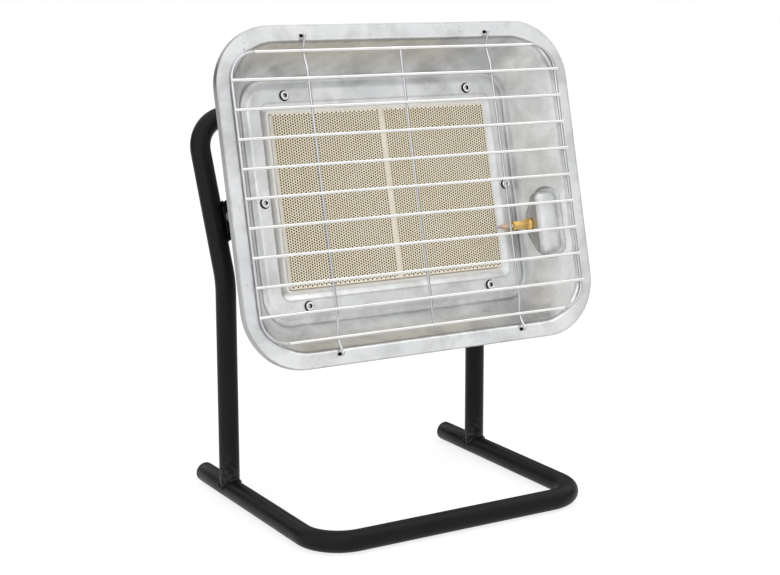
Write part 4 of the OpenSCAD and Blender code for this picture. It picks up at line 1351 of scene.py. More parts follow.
@dataclass
class Stand(Assembly):
    """The bent-tube stand with its plugs and welded arms.

    Attributes:
        front_reach: From the uprights forward to the front bar.
        rear_reach: From the uprights back to the rails' ends.
        base_bend: Centre-line radius of the front bends.
        lean_bend: Radius of the bend where the uprights lean.
        top_bend: Radius of the bends beside the top bar.
        lean_len: Length of the leaning part.
        arm_w: Width of the arms.
        arm_nose: How far the arms run forward of the pivot.
        pivot_up: Pivot's distance up the leaning part.
        pivot_fwd: Pivot's distance forward of it.
    """

    front_reach: float = 155.5
    rear_reach: float = 46.5
    base_bend: float = 30.0
    lean_bend: float = 45.0
    top_bend: float = 29.0
    lean_len: float = 133.5
    arm_w: float = 30.0
    arm_nose: float = 15.0
    pivot_up: float = 47.0
    pivot_fwd: float = 16.0

    def build(self) -> None:
        """Builds the whole stand."""
        h = self.heater
        h.finish(self.base(), "stand", ["base_tube"], "paint")
        h.finish(self.plugs(), "stand", ["base_end_plugs"], "plug")
        h.finish(self.upright(), "stand", ["upright_tube"], "paint")
        h.finish(self.welds(), "stand", [], "paint")
        for side, node in ((-1, "pivot_arm_left"), (1, "pivot_arm_right")):
            h.finish(self.arm(side), "stand", [node], "paint")

    @staticmethod
    def bend(centre: Vector, start: Vector, end: Vector, angle: float = 90.0,
             steps: int = 16) -> list[Vector]:
        """Points round an arc.

        Args:
            centre: The arc's centre.
            start: From the centre to the arc's start.
            end: The direction square to it, as long, that the arc turns towards.
            angle: Angle in degrees.
            steps: Number of steps.

        Returns:
            The points, both ends included.
        """
        return [centre + start * math.cos(math.radians(angle * k / steps))
                + end * math.sin(math.radians(angle * k / steps)) for k in range(steps + 1)]

    def base(self) -> Piece:
        """The U-shaped floor frame."""
        h = self.heater
        front = h.post_y - self.front_reach
        rear = h.post_y + self.rear_reach
        r = self.base_bend
        z = h.tube_r
        path = [Vector((-h.rail_x, rear, z)), Vector((-h.rail_x, rear - 0.6, z))]
        path += refined([Vector((-h.rail_x, rear - 1.0, z)), Vector((-h.rail_x, front + r + 1, z))], 30)
        path += self.bend(Vector((r - h.rail_x, front + r, z)), Vector((-r, 0, 0)), Vector((0, -r, 0)))
        path += refined([Vector((r - h.rail_x + 1, front, z)), Vector((h.rail_x - r - 1, front, z))], 30)
        path += self.bend(Vector((h.rail_x - r, front + r, z)), Vector((0, -r, 0)), Vector((r, 0, 0)))
        path += refined([Vector((h.rail_x, front + r + 1, z)), Vector((h.rail_x, rear - 1.0, z))], 30)
        path += [Vector((h.rail_x, rear - 0.6, z)), Vector((h.rail_x, rear, z))]
        end = [h.tube_r - 0.5, h.tube_r - 0.12]
        radii = end + [h.tube_r] * (len(path) - 4) + end[::-1]
        return smooth(loft("base_frame_tube", tube_loops(path, radii, 40)), 50)

    def plugs(self) -> Piece:
        """The two plugs in the rails' open ends."""
        h = self.heater
        r = h.tube_r
        profile = [(r - 3.5, -6.0), (r - 1.7, -6.0), (r - 1.7, 0.05), (r - 0.15, 0.05), (r - 0.05, 0.7),
                   (r - 0.9, 1.6), (r - 2.6, 2.2), (r - 4.8, 2.45), (r - 6.6, 2.5), (0.3, 2.5)]
        pieces = []
        for side in (-1, 1):
            plug = lathe("plug", profile, 40)
            spot = at(side * h.rail_x, h.post_y + self.rear_reach + 0.05, r)
            pieces.append(place(plug, spot @ Y_AXIS))
        return smooth(join("rail_end_plugs", pieces), 50)

    def upright(self) -> Piece:
        """The two uprights and their top bar, one bent tube."""
        h = self.heater
        lean = math.radians(h.lean)
        tangent = self.lean_bend * math.tan(lean / 2)
        up = Vector((0, math.sin(lean), math.cos(lean)))
        base = Vector((0, h.post_y, h.lean_z))
        half: list[Vector] = refined([Vector((h.rail_x, h.post_y, h.tube_r + 2.0)),
                                      Vector((h.rail_x, h.post_y, h.lean_z - tangent - 1))], 30)
        half += self.bend(Vector((h.rail_x, h.post_y + self.lean_bend, h.lean_z - tangent)),
                          Vector((0, -self.lean_bend, 0)), Vector((0, 0, self.lean_bend)), h.lean, 10)
        across = Vector((h.rail_x, 0, 0))
        half += refined([base + across + up * (tangent + 1),
                         base + across + up * (self.lean_len - self.top_bend - 1)], 30)
        r = self.top_bend
        half += self.bend(base + across - Vector((r, 0, 0)) + up * (self.lean_len - r),
                          Vector((r, 0, 0)), up * r)
        end = base + up * self.lean_len
        half += refined([end + Vector((h.rail_x - r - 1, 0, 0)), end + Vector((4, 0, 0))], 30)
        path = half + [Vector((-p.x, p.y, p.z)) for p in reversed(half)]
        return smooth(loft("upright_loop_tube", tube_loops(path, h.tube_r, 40)), 50)

    @staticmethod
    def bead(name: str, path: Sequence[Vector], size: float, ripple: float = 1.3) -> Piece:
        """A weld bead along a path, in overlapping ripples.

        Args:
            name: The piece's name.
            path: The bead's line.
            size: Its radius.
            ripple: Distance from one ripple to the next.

        Returns:
            The bead.
        """
        run = refined(path, ripple / 4)
        radii = []
        length = 0.0
        for i, point in enumerate(run):
            length += (point - run[i - 1]).length if i else 0.0
            phase = (length / ripple) % 1.0
            radii.append(size * (0.86 + 0.16 * math.sin(math.pi * phase) + 0.05 * math.sin(length * 0.9)))
        radii[0] = radii[-1] = size * 0.4
        return loft(name, tube_loops(run, radii, 12))

    def welds(self) -> Piece:
        """Weld beads where the uprights stand on the rails and where the arms are fixed."""
        h = self.heater
        r = h.tube_r
        beads = []
        for side in (-1, 1):
            for front in (-1, 1):
                path = []
                for k in range(-9, 10):
                    turn = math.radians(front * 90 + k * 8.2)
                    x, y = (r + 0.35) * math.cos(turn), (r + 0.35) * math.sin(turn)
                    drop = math.sqrt(max(0.0, r * r - min(x * x, r * r)))
                    path.append(Vector((side * h.rail_x + x, h.post_y + y, r + drop + 0.5)))
                beads.append(self.bead("bead", path, 1.25))
        joined = join("weld_beads", beads)
        seams = []
        for side in (-1, 1):
            for edge in (-1, 1):
                z = self.pivot_up + edge * self.arm_w / 2
                seam_x = side * (self.heater.arm_x + self.heater.arm_t + 0.3)
                path = [Vector((seam_x, y, z)) for y in (5.0, 2.0, -2.0, -5.0)]
                seams.append(self.bead("seam", path, 1.1))
            for face in (-1, 1):
                y = face * 4.2
                path = [Vector((side * (self.heater.arm_x + self.heater.arm_t + 0.1), y, self.pivot_up + s))
                        for s in (-11.0, -5.0, 0.0, 5.0, 11.0)]
                seams.append(self.bead("seam", path, 0.95))
        arms = place(join("arm_seams", seams), h.leaning())
        return smooth(join("weld_beads", [joined, arms]), 60)

    def arm(self, side: int) -> Piece:
        """One flat pivot arm with its rounded nose.

        Args:
            side: -1 for the left one, 1 for the right one.

        Returns:
            The arm.
        """
        nose = 9.0
        back = self.heater.tube_r - 2.0
        half = self.arm_w / 2
        corners = [Vector((0, back, half)), Vector((0, -self.pivot_fwd - self.arm_nose, half)),
                   Vector((0, -self.pivot_fwd - self.arm_nose, -half)), Vector((0, back, -half))]
        outline = rounded(corners, [0, nose, nose, 0], 10)
        outline = refined(outline + [outline[0]], 6)[:-1]
        layers = ((0.0, 0.5), (0.15, 0.2), (0.5, 0.0), (self.heater.arm_t - 0.5, 0.0),
                  (self.heater.arm_t - 0.15, 0.2), (self.heater.arm_t, 0.5))
        centre = Vector((0, (back - self.pivot_fwd - self.arm_nose) / 2, 0))
        loops = []
        for height, inset in layers:
            loop = []
            for point in outline:
                inward = (centre - point).normalized() * inset
                up = point.z + inward.z + self.pivot_up
                loop.append(Vector((side * (self.heater.arm_x + height), point.y + inward.y, up)))
            loops.append(loop)
        word = "left" if side < 0 else "right"
        return smooth(place(loft("pivot_arm_plate_" + word, loops), self.heater.leaning()), 35)


@dataclass
class TiltMount(Assembly):
    """Bolts, washers, wing nuts and the strap that carries the burner.

    Attributes:
        washer_t: Thickness of the friction washer.
        bolt_r: Radius of the pivot bolt.
        strap_t: Thickness of the strap.
        strap_w: Width of the strap.
        case_back: Distance of the casing's back behind the rim.
        gap: Clearance between neighbouring pieces.
        body_gap: Clearance between pieces that turn against each other.
        screw_xs: Places of the strap's screws across the heater.
    """

    washer_t: float = 1.6
    bolt_r: float = 3.0
    strap_t: float = 2.5
    strap_w: float = 24.0
    case_back: float = 81.0
    gap: float = 0.1
    body_gap: float = 0.3
    screw_xs: tuple[float, ...] = (-82.0, -58.0, 58.0, 82.0)

    @property
    def ear_x(self) -> float:
        """Inner face of the strap's ear."""
        return self.heater.arm_x - self.washer_t - self.gap - self.body_gap - self.strap_t

    @property
    def wing_x(self) -> float:
        """Outer face of the wing nut."""
        return self.ear_x - self.body_gap

    def pivot(self, side: int) -> Matrix:
        """The pivot's frame on one side, with Z pointing outwards."""
        h = self.heater
        return at(0, h.pivot_y, h.pivot_z) @ (X_AXIS if side > 0 else MINUS_X)

    def build(self) -> None:
        """Builds the mount."""
        h = self.heater
        h.finish(self.bolts(), "stand", ["pivot_bolts"], "zinc")
        h.finish(self.washers(), "stand", ["friction_washers"], "washer")
        for side, word in ((-1, "left"), (1, "right")):
            h.finish(self.wing_nut(side, word), "nut_" + word, ["wing_nut_" + word], "zinc")
        h.finish(self.strap(), "head", ["head_bracket"], "bracket")
        h.finish(self.screws(), "head", ["bracket_screws"], "zinc")
        h.keep("bracket_nuts", "zinc")

    def bolts(self) -> Piece:
        """Button-headed bolts with a hexagon socket and a threaded end."""
        pieces = []
        face = self.heater.arm_x + self.heater.arm_t + self.gap
        tip = self.wing_x - 11
        socket = hexagon(4.0)
        for side in (-1, 1):
            head = [(3.0, face - 0.2), (5.1, face - 0.2), (5.4, face + 0.2), (5.35, face + 1.0),
                    (4.9, face + 2.1), (4.0, face + 3.0), (3.1, face + 3.45), (2.9, face + 3.5)]
            loops = [round_loop(r, z, 48) for r, z in head]
            loops += [shaped_loop(lambda turn, _h: socket(turn), face + 3.35, 48),
                      shaped_loop(lambda turn, _h: socket(turn) * 0.99, face + 1.2, 48),
                      round_loop(0.4, face + 0.7, 48)]
            shank_top = self.wing_x + 2
            groove = threaded(self.bolt_r - 0.02, 1.0, 0.5)
            shank = rings(48, (1.6, tip), (2.3, tip + 0.4))
            steps = int((shank_top - tip - 0.8) / THREAD_STEP)
            shank += [shaped_loop(groove, tip + 0.8 + k * THREAD_STEP, 48) for k in range(steps + 1)]
            shank += rings(48, (self.bolt_r - 0.02, shank_top + 0.3), (self.bolt_r - 0.02, face))
            bolt = join("bolt", [loft("head", loops), loft("shank", shank)])
            pieces.append(place(bolt, self.pivot(side)))
        return smooth(join("pivot_bolt_pair", pieces), 35)

    def washers(self) -> Piece:
        """Fibre washers between arm and ear."""
        low = self.heater.arm_x - self.gap - self.washer_t
        high = self.heater.arm_x - self.gap
        profile = [(3.3, low + 0.2), (3.5, low), (8.7, low), (9.0, low + 0.3), (9.0, high - 0.3), (8.7, high),
                   (3.5, high), (3.3, high - 0.2)]
        pieces = [place(lathe("washer", profile, 56, ends=Ends.RING), self.pivot(side)) for side in (-1, 1)]
        return smooth(join("friction_washer_pair", pieces), 35)

    def wing_nut(self, side: int, word: str) -> Piece:
        """One wing nut, hub and two wings.

        Args:
            side: -1 for left, 1 for right.
            word: The side's name.

        Returns:
            The nut.
        """
        top = -self.wing_x
        hub = [(3.15, top + 0.2), (3.4, top), (5.7, top), (6.0, top + 0.4), (5.8, top + 2.5),
               (5.0, top + 6.0), (4.7, top + 6.8), (4.4, top + 7.0), (3.5, top + 7.0), (3.15, top + 6.7)]
        parts = [lathe("hub", hub, 56, ends=Ends.RING)]
        stations = ((3.9, 3.6, 2.6, 1.6), (5.6, 4.1, 3.1, 1.35), (7.4, 5.4, 3.6, 1.1), (9.2, 6.8, 3.9, 1.0),
                    (10.8, 7.6, 3.4, 0.95), (11.9, 7.9, 2.3, 0.8), (12.4, 8.0, 1.0, 0.45))
        power = 2.6
        for turn in (25.0, 205.0):
            loops = []
            for out, centre, tall, thick in stations:
                loop = []
                for k in range(28):
                    a = 2 * math.pi * k / 28
                    squeeze = 1 / (abs(math.cos(a)) ** power + abs(math.sin(a)) ** power) ** (1 / power)
                    up = top + centre + tall * squeeze * math.sin(a)
                    loop.append(Vector((out, thick * squeeze * math.cos(a), up)))
                loops.append(loop)
            wing = loft("wing", loops)
            parts.append(place(wing, turned(turn, "Z")))
        nut = join("wing_nut_cast_" + word, parts)
        h = self.heater
        spot = at(0, h.pivot_y, h.pivot_z) @ (MINUS_X if side > 0 else X_AXIS)
        return smooth(place(nut, spot), 40)

    def strap(self) -> Piece:
        """The bent strap behind the casing, with a rounded ear at each end."""
        h = self.heater
        t = self.strap_t
        depth = self.case_back + self.gap + t / 2
        outer = self.ear_x + t / 2
        tail = h.pivot_depth + 11.0
        corners = [Vector((-outer, tail, 0)), Vector((-outer, depth, 0)), Vector((outer, depth, 0)),
                   Vector((outer, tail, 0))]
        path = refined(rounded(corners, 3.2, 8), 9)
        nose = [Vector((-outer, tail - d, 0)) for d in (0.0, 0.5, 1.4, 2.8, 4.8, 7.5)]
        path = nose + path[1:-1] + [Vector((-p.x, p.y, 0)) for p in reversed(nose)]
        path = [p for i, p in enumerate(path) if i == 0 or (p - path[i - 1]).length > 1e-4]
        half = self.strap_w / 2
        ear_r, soft = 12.0, 0.45
        loops = []
        for i, point in enumerate(path):
            along = (path[min(i + 1, len(path) - 1)] - path[max(i - 1, 0)]).normalized()
            out = Vector((-along.y, along.x, 0))
            reach = tail - point.y if abs(point.x) > outer - 0.01 else math.inf
            run = ear_r - min(reach + 1.0, ear_r)
            wide = math.sqrt(max(0.0, ear_r ** 2 - run * run)) * half / ear_r
            shape = [(t / 2, -wide + soft), (t / 2, wide - soft), (t / 2 - soft, wide), (-t / 2 + soft, wide),
                     (-t / 2, wide - soft), (-t / 2, -wide + soft), (-t / 2 + soft, -wide),
                     (t / 2 - soft, -wide)]
            loops.append([point + out * a + Vector((0, 0, b - h.pivot_drop)) for a, b in shape])
        return smooth(place(loft("tilt_strap", loops), h.head()), 30)

    def screws(self) -> Piece:
        """Pan-headed screws through the strap."""
        under = self.case_back + self.strap_t + 2 * self.gap
        socket = hexagon(2.5)
        pieces = []
        for x in self.screw_xs:
            loops = [round_loop(r, z, 36) for r, z in ((1.9, -9.0), (1.95, -0.1), (3.7, -0.1), (3.9, 0.2),
                                                       (3.85, 0.9), (3.4, 1.7), (2.5, 2.25), (1.7, 2.4))]
            loops += [shaped_loop(lambda turn, _h: socket(turn), 2.3, 36),
                      shaped_loop(lambda turn, _h: socket(turn) * 0.98, 1.0, 36), round_loop(0.3, 0.7, 36)]
            screw = loft("screw", loops)
            pieces.append(place(screw, self.heater.in_head(x, under, -self.heater.pivot_drop, Y_AXIS)))
        return smooth(join("strap_screws", pieces), 35)


@dataclass
class Reflector(Assembly):
    """The drawn sheet with its raised frame, rivets and pressed dome.

    Attributes:
        corners: Half width, half height, corner radius and depth where the sheet's profile turns.
        reaches: How far each turn is rounded back.
        dome_x: Distance of the dome's flat face from the centre.
        dome_z: Height of its centre.
        dome_h: Height of the dome.
        dome_w: Depth of the dome.
        dome_front: Depth of its straight front side.
        dome_corner: Radius of its corners beside that side.
        dome_belly: Radius of its bulging rear side.
        dome_round: How far the rounding round its face reaches inwards.
        dome_crown: How far that rounding reaches down its side.
        dome_lean: How far its front edge stands back.
        dome_foot: Radius where it meets the wall.
        dome_draft: How far its sides lean in.
        sheet: Thickness of the sheet.
    """

    corners: tuple[tuple[float, float, float, float], ...] = (
        (152.5, 124.75, 46.0, 6.0), (152.5, 124.75, 46.0, 0.0), (140.4, 113.1, 38.0, 0.0),
        (125.6, 99.6, 30.0, 26.0), (116.9, 91.4, 20.5, 42.3), (111.9, 83.6, 16.0, 39.0),
        (102.5, 74.0, 7.0, 39.0), (94.5, 66.5, 2.0, 42.5))
    reaches: tuple[float, ...] = (0.0, 1.5, 4.0, 12.0, 3.6, 2.6, 1.0, 0.0)
    dome_x: float = 116.4
    dome_z: float = -35.0
    dome_h: float = 50.5
    dome_w: float = 24.0
    dome_front: float = 10.0
    dome_corner: float = 7.0
    dome_belly: float = 12.0
    dome_round: float = 3.4
    dome_crown: float = 6.5
    dome_lean: float = 3.0
    dome_foot: float = 3.4
    dome_draft: float = 0.9
    sheet: float = 0.8

    def build(self) -> None:
        """Builds the reflector and its rivets."""
        h = self.heater
        h.finish(self.dish(), "head", ["reflector"], "reflector", "painted_shade")
        h.finish(self.rivets(), "head", ["casing_rivets"], "rivet", "painted_shade")

    def stations(self) -> list[Vector]:
        """The sheet's profile as half width, half height, corner radius and depth."""
        run = rounded([Vector(c) for c in self.corners], list(self.reaches), 6)
        return refined(run, 4.0)

    def wall_x(self, depth: float) -> float:
        """Half width of the right-hand wall at a depth.

        Args:
            depth: Distance behind the rim.

        Returns:
            The wall's distance from the centre.
        """
        foot_x, mouth_x, foot_y = 116.8, 141.0, 42.4
        run = [s for s in self.stations() if s[3] < foot_y and foot_x < s[0] < mouth_x]
        for a, b in zip(run, run[1:]):
            if a[3] <= depth <= b[3] and b[3] > a[3]:
                return a[0] + (b[0] - a[0]) * (depth - a[3]) / (b[3] - a[3])
        return run[0][0] if depth < run[0][3] else run[-1][0]

    def outline(self, inset: float) -> list[tuple[float, float]]:
        """Depth and height of points round the dome, straight in front and bulging behind.

        Args:
            inset: How far inside the dome's foot the points lie.

        Returns:
            The points.
        """
        corner_y = self.dome_front + self.dome_corner
        corner_z = self.dome_h / 2 - self.dome_corner
        discs = ((corner_y, corner_z, self.dome_corner), (corner_y, -corner_z, self.dome_corner),
                 (self.dome_front + self.dome_w - self.dome_belly, 0.0, self.dome_belly))
        points = []
        for k in range(96):
            turn = 2 * math.pi * (k + 0.5) / 96
            y, z = math.cos(turn), math.sin(turn)
            disc = max(discs, key=lambda d: d[0] * y + d[1] * z + d[2])
            points.append((disc[0] + (disc[2] - inset) * y, self.dome_z + disc[1] + (disc[2] - inset) * z))
        return points

    def dome(self) -> Piece:
        """The dome pressed into the right-hand wall."""
        rise = self.wall_x(self.dome_front) - self.dome_x
        steps = []
        for k in range(10):
            turn = math.radians(10 * k)
            steps.append((-self.dome_foot * math.sin(turn), self.dome_foot * (1 - math.cos(turn)) / rise))
        steps.reverse()
        steps[0] = (steps[0][0], -0.004)
        for k in range(1, 6):
            low, high = self.dome_foot / rise, 1 - self.dome_crown / rise
            share = low + (high - low) * k / 6
            steps.append((self.dome_draft * share, share))
        for k in range(10):
            turn = math.radians(10 * k)
            share = 1 - self.dome_crown * (1 - math.sin(turn)) / rise
            steps.append((self.dome_round * (1 - math.cos(turn)) + self.dome_draft * share, share))
        loops = []
        for inset, share in steps:
            loop = []
            for y, z in self.outline(inset):
                wall = self.wall_x(y)
                reach = self.dome_round + self.dome_draft
                back = self.dome_lean * min(1.0, max(0.0, (self.dome_front + reach - y) / reach)) ** 2
                loop.append(Vector((wall + (self.dome_x + back - wall) * share, y, z)))
            loops.append(loop)
        return loft("dome", loops, Ends.LAST)

    def hooks(self) -> list[tuple[float, float]]:
        """Places of the guard's four hooks, across and up the reflector."""
        h = self.heater
        return [(x, z) for x in (-h.stay_gap, h.stay_gap) for z in (-h.hook_z, h.hook_z)]

    def dish(self) -> Piece:
        """The whole sheet in one piece."""
        loops = [slab_loop(s[0], s[1], s[2], s[3], 14, (36, 30)) for s in self.stations()]
        sheet = loft("reflector_dish", loops, Ends.OPEN)
        self.face_forward(sheet, Vector((0, -1, 0)), 0.3)
        thicken(sheet, self.sheet)
        window = [[Vector((x, y, z)) for y, z in self.outline(0.2)] for x in (105.0, 150.0)]
        cutters = [loft("window", window)]
        for x, z in self.hooks():
            hole = lathe("hole", ((1.35, -3.0), (1.35, 4.0)), 24)
            spot = at(x - 0.7, 0, z - math.copysign(0.5, z))
            cutters.append(place(hole, spot @ Matrix.Diagonal((1.5, 1.0, 1.0, 1.0)) @ Y_AXIS))
        cut(sheet, cutters)
        dome = self.dome()
        self.face_forward(dome, Vector((-1, 0, 0)), 0.9)
        thicken(dome, self.sheet)
        shades = []
        # A near-black disc behind each hook hole: painted shadow for the unlit space inside the lip.
        for x, z in self.hooks():
            shade = lathe("shade", ((0.05, 1.5), (3.3, 1.5), (3.3, 1.7), (0.05, 1.7)), 24)
            self.heater.finishes.mark(shade, ("reflector", "painted_shade"), lambda _face: 1)
            shades.append(place(shade, at(x, 0, z) @ Y_AXIS))
        dish = join("reflector_dish", [sheet, dome])
        self.heater.finishes.mark(dish, ("reflector", "painted_shade"))
        return smooth(place(join("reflector_dish", [dish, *shades]), self.heater.head()), 40)

    @staticmethod
    def face_forward(sheet: Piece, way: Vector, least: float) -> None:
        """Turns an open sheet's faces so that those nearly square to a direction point along it."""
        total = sum(p.normal.dot(way) * p.area for p in sheet.data.polygons if abs(p.normal.dot(way)) > least)
        if total < 0:
            edit_all(sheet, bpy.ops.mesh.flip_normals)

    def rivets(self) -> Piece:
        """Six hollow rivets on the raised frame, their bores and flanks painted dark as shade."""
        profile = [(0.2, 3.2), (1.4, 3.1), (1.45, -1.3), (1.5, -1.8), (1.66, -2.15), (1.95, -2.35),
                   (2.4, -2.42), (2.9, -2.35), (3.25, -2.15), (3.45, -1.85), (3.6, -1.3), (3.75, -0.7),
                   (3.9, -0.3), (4.2, -0.12), (4.3, 0.0), (4.2, 0.05), (2.0, 0.08), (2.0, 1.95), (2.6, 2.1),
                   (2.7, 2.4), (2.55, 3.3), (2.1, 3.85), (0.2, 3.9)]

        def shaded_face(face: bpy.types.MeshPolygon) -> int:
            """1 for a face in the rivet's bore or on its flank, which take the painted shade."""
            out = math.hypot(face.center.x, face.center.y) / MM
            depth = face.center.z / MM
            bore = out < 1.52 and depth > -2.0
            flank = out > 3.4 and -2.05 < depth < -0.15
            return int(bore or flank)

        pieces = []
        x, z = 102.5 + 4.75, 74.0 + 5.25
        for px, pz in ((-81, z), (81, z), (-x, 0), (x, 0), (-81, -z), (81, -z)):
            rivet = lathe("rivet", profile, 40)
            self.heater.finishes.mark(rivet, ("rivet", "painted_shade"), shaded_face)
            pieces.append(place(rivet, self.heater.in_head(px, 38.9, pz, Y_AXIS)))
        return smooth(join("hollow_rivets", pieces), 40)


@dataclass
class Burner(Assembly):
    """Plaques, seal, casing and the way in for gas and air.

    Attributes:
        tile_w: Width of a plaque.
        tile_h: Height of a plaque.
        tile_t: Thickness of a plaque.
        joint: Width of the joint between the plaques.
        face: Distance of the plaques' faces behind the rim.
        pitch: Distance from one burner hole to the next in a column.
        across: Distance from one column to the next.
        hole_r: Radius of a burner hole.
        hole_depth: How deep the holes are modelled.
        clean_depth: How far down a hole its pale edge reaches.
        columns: Columns of holes in a plaque.
        rows: Holes in a column.
        lift: How far the holes' field lies above the middle.
        mixer_y: Depth of the mixing tube's centre line.
        mixer_z: Height of that line.
        case_a: Half the casing's width.
        case_b: Half the casing's height.
    """

    tile_w: float = 92.0
    tile_h: float = 132.0
    tile_t: float = 13.0
    joint: float = 4.0
    face: float = 38.0
    pitch: float = 2.06
    across: float = 1.98
    hole_r: float = 0.70
    hole_depth: float = 1.6
    clean_depth: float = 0.12
    columns: int = 46
    rows: int = 63
    lift: float = 0.2
    mixer_y: float = 67.0
    mixer_z: float = -56.0
    case_a: float = 100.0
    case_b: float = 72.0

    def build(self) -> None:
        """Builds the burner."""
        h = self.heater
        for side, word in ((-1, "left"), (1, "right")):
            h.finish(self.plaque(side, word), "head", ["tile_" + word], "ceramic", "hole", "wrap")
        h.finish(self.strip(), "head", ["tile_joint_strip"], "fibre")
        h.finish(self.seal(), "head", ["tile_seal"], "fibre")
        h.finish(self.casing(), "head", ["burner_casing"], "casing")
        h.finish(self.mixing_tube(), "head", ["mixing_tube"], "casing")
        h.finish(self.cage(), "head", ["injector_cage"], "zinc")
        h.finish(self.injector(), "head", ["injector"], "brass")
        h.keep("tile_rest", "casing")

    @staticmethod
    def hexagon_loop(radius: float, depth: float, wide: float = 1.0) -> Loop:
        """A hexagon in an upright plane, two of its sides level."""
        return [Vector((wide * radius * math.cos(math.pi / 3 * k), depth, radius * math.sin(math.pi / 3 * k)))
                for k in range(6)]

    @staticmethod
    def repeat(piece: Piece, count: int, step: tuple[float, float, float]) -> None:
        """Repeats a piece's mesh in a line and welds what touches.

        Args:
            piece: The piece.
            count: How many in all.
            step: From one to the next, in millimetres.
        """
        modifier = piece.modifiers.new("repeat", "ARRAY")
        modifier.count = count
        modifier.use_relative_offset = False
        modifier.use_constant_offset = True
        modifier.constant_offset_displace = tuple(c * MM for c in step)
        apply(piece, modifier)

    def fillers(self, cell: float, wide: float) -> list[Piece]:
        """Half cells without a hole that fill the notches along the perforation's top and bottom.

        Args:
            cell: Radius of a cell.
            wide: How much wider than regular the cells are.

        Returns:
            One row of half cells for the top and one for the bottom.
        """
        rows = []
        half = self.pitch / 2
        for x, low, high in ((0.0, (self.rows - 0.5) * self.pitch, 1.0), (self.across, 0.0, -1.0)):
            narrow, broad = cell * wide / 2, cell * wide
            edge = [Vector((x - narrow, 0.0, low)), Vector((x + narrow, 0.0, low)),
                    Vector((x + broad, 0.0, low + high * half)), Vector((x - broad, 0.0, low + high * half))]
            row = loft("filler", [edge], Ends.LAST)
            self.repeat(row, self.columns // 2, (2 * self.across, 0, 0))
            rows.append(row)
        return rows

    def plaque(self, side: int, word: str) -> Piece:
        """One perforated plaque.

        Args:
            side: -1 for left, 1 for right.
            word: The side's name.

        Returns:
            The plaque.
        """
        cell = self.pitch / math.sqrt(3)
        wide = self.across / (1.5 * cell)
        skin = loft("skin", [self.hexagon_loop(cell, 0.0, wide), self.hexagon_loop(self.hole_r + 0.04, 0.0),
                             self.hexagon_loop(self.hole_r, self.clean_depth),
                             self.hexagon_loop(self.hole_r, self.hole_depth)], Ends.OPEN)
        finishes = self.heater.finishes
        # Hole walls deeper than the pale edge take the painted shade of the hole's inside.
        finishes.mark(skin, ("ceramic", "hole"), lambda face: int(face.center.y > self.clean_depth * MM))
        self.repeat(skin, self.rows, (0, 0, self.pitch))
        self.repeat(skin, 2, (self.across, 0, self.pitch / 2))
        self.repeat(skin, self.columns // 2, (2 * self.across, 0, 0))
        skin = join("skin", [skin, *self.fillers(cell, wide)])
        edit_all(skin, lambda: bpy.ops.mesh.remove_doubles(threshold=MERGE_DISTANCE), outward)
        Reflector.face_forward(skin, Vector((0, -1, 0)), 0.9)
        width = (self.columns - 1) * self.across
        height = (self.rows - 0.5) * self.pitch
        low = self.lift - height / 2
        place(skin, at(-width / 2, 0.03, low))
        a, b = self.tile_w / 2, self.tile_h / 2
        inner_a, inner_b = a - 0.45, height / 2 + 0.4 * self.pitch
        outline = [(a - 0.5, b - 0.5, 1.4, self.tile_t), (a, b, 1.6, self.tile_t - 0.5), (a, b, 1.6, 0.3),
                   (a - 0.08, b - 0.08, 1.5, 0.08), (a - 0.25, b - 0.25, 1.4, 0.0),
                   (inner_a, inner_b, 0.6, 0.0), (inner_a, inner_b, 0.6, self.hole_depth)]
        loops = [slab_loop(*o, corner=3) for o in outline]
        for loop in loops[-2:]:
            for point in loop:
                point.z += self.lift
        block = loft("block", loops)

        def layer(face: bpy.types.MeshPolygon) -> int:
            """1 for the floor behind the holes, painted dark as shade, 2 for the paper-wrapped sides, 0 for
            the rest.
            """
            x, y, z = (c / MM for c in face.center)
            if len(face.vertices) > 4 and y < 5.0:
                return 1
            return 2 if 0.2 < y < self.tile_t - 1.0 and (abs(x) > a - 0.2 or abs(z) > b - 0.2) else 0

        finishes.mark(block, ("ceramic", "hole", "wrap"), layer)
        x = side * (self.joint / 2 + a)
        plaque = place(join("plaque_" + word, [block, skin]), self.heater.in_head(x, self.face, 0))
        return smooth(plaque, 30)

    def strip(self) -> Piece:
        """The fibre strip between the plaques, a little uneven along its length."""
        loops = []
        half = self.joint / 2 - 0.1
        for k in range(45):
            z = -self.tile_h / 2 + self.tile_h * k / 44
            dip = 0.5 + 0.12 * math.sin(z * 0.31) + 0.08 * math.sin(z * 0.83 + 1.0)
            top = self.face + dip
            back = self.face + self.tile_t
            points = [(-half, back), (-half, top + 0.25), (-half * 0.6, top + 0.05), (0.0, top),
                      (half * 0.6, top + 0.06), (half, top + 0.28), (half, back)]
            loops.append([Vector((x, y, z)) for x, y in points])
        return smooth(place(loft("joint_strip", loops), self.heater.head()), 60)

    def seal(self) -> Piece:
        """The fibre seal round the pair of plaques."""
        a = self.tile_w + self.joint / 2
        b = self.tile_h / 2
        outline = [(a + 0.1, b + 0.1, 0.8, 51.0), (a + 0.1, b + 0.1, 0.8, 44.3),
                   (a + 0.5, b + 0.5, 1.2, 43.9), (a + 1.2, b + 1.2, 1.8, 43.8),
                   (a + 1.7, b + 1.7, 2.2, 44.0), (a + 1.9, b + 1.9, 2.4, 44.8),
                   (a + 1.9, b + 1.9, 2.4, 51.0)]
        loops = [slab_loop(*o, corner=5, sides=(40, 28)) for o in outline]
        for loop in loops[1:6]:
            for number, point in enumerate(loop):
                point.y += 0.18 * math.sin(number * 0.9) * math.cos(number * 0.37)
        return smooth(place(loft("plaque_seal", loops, Ends.RING), self.heater.head()), 60)

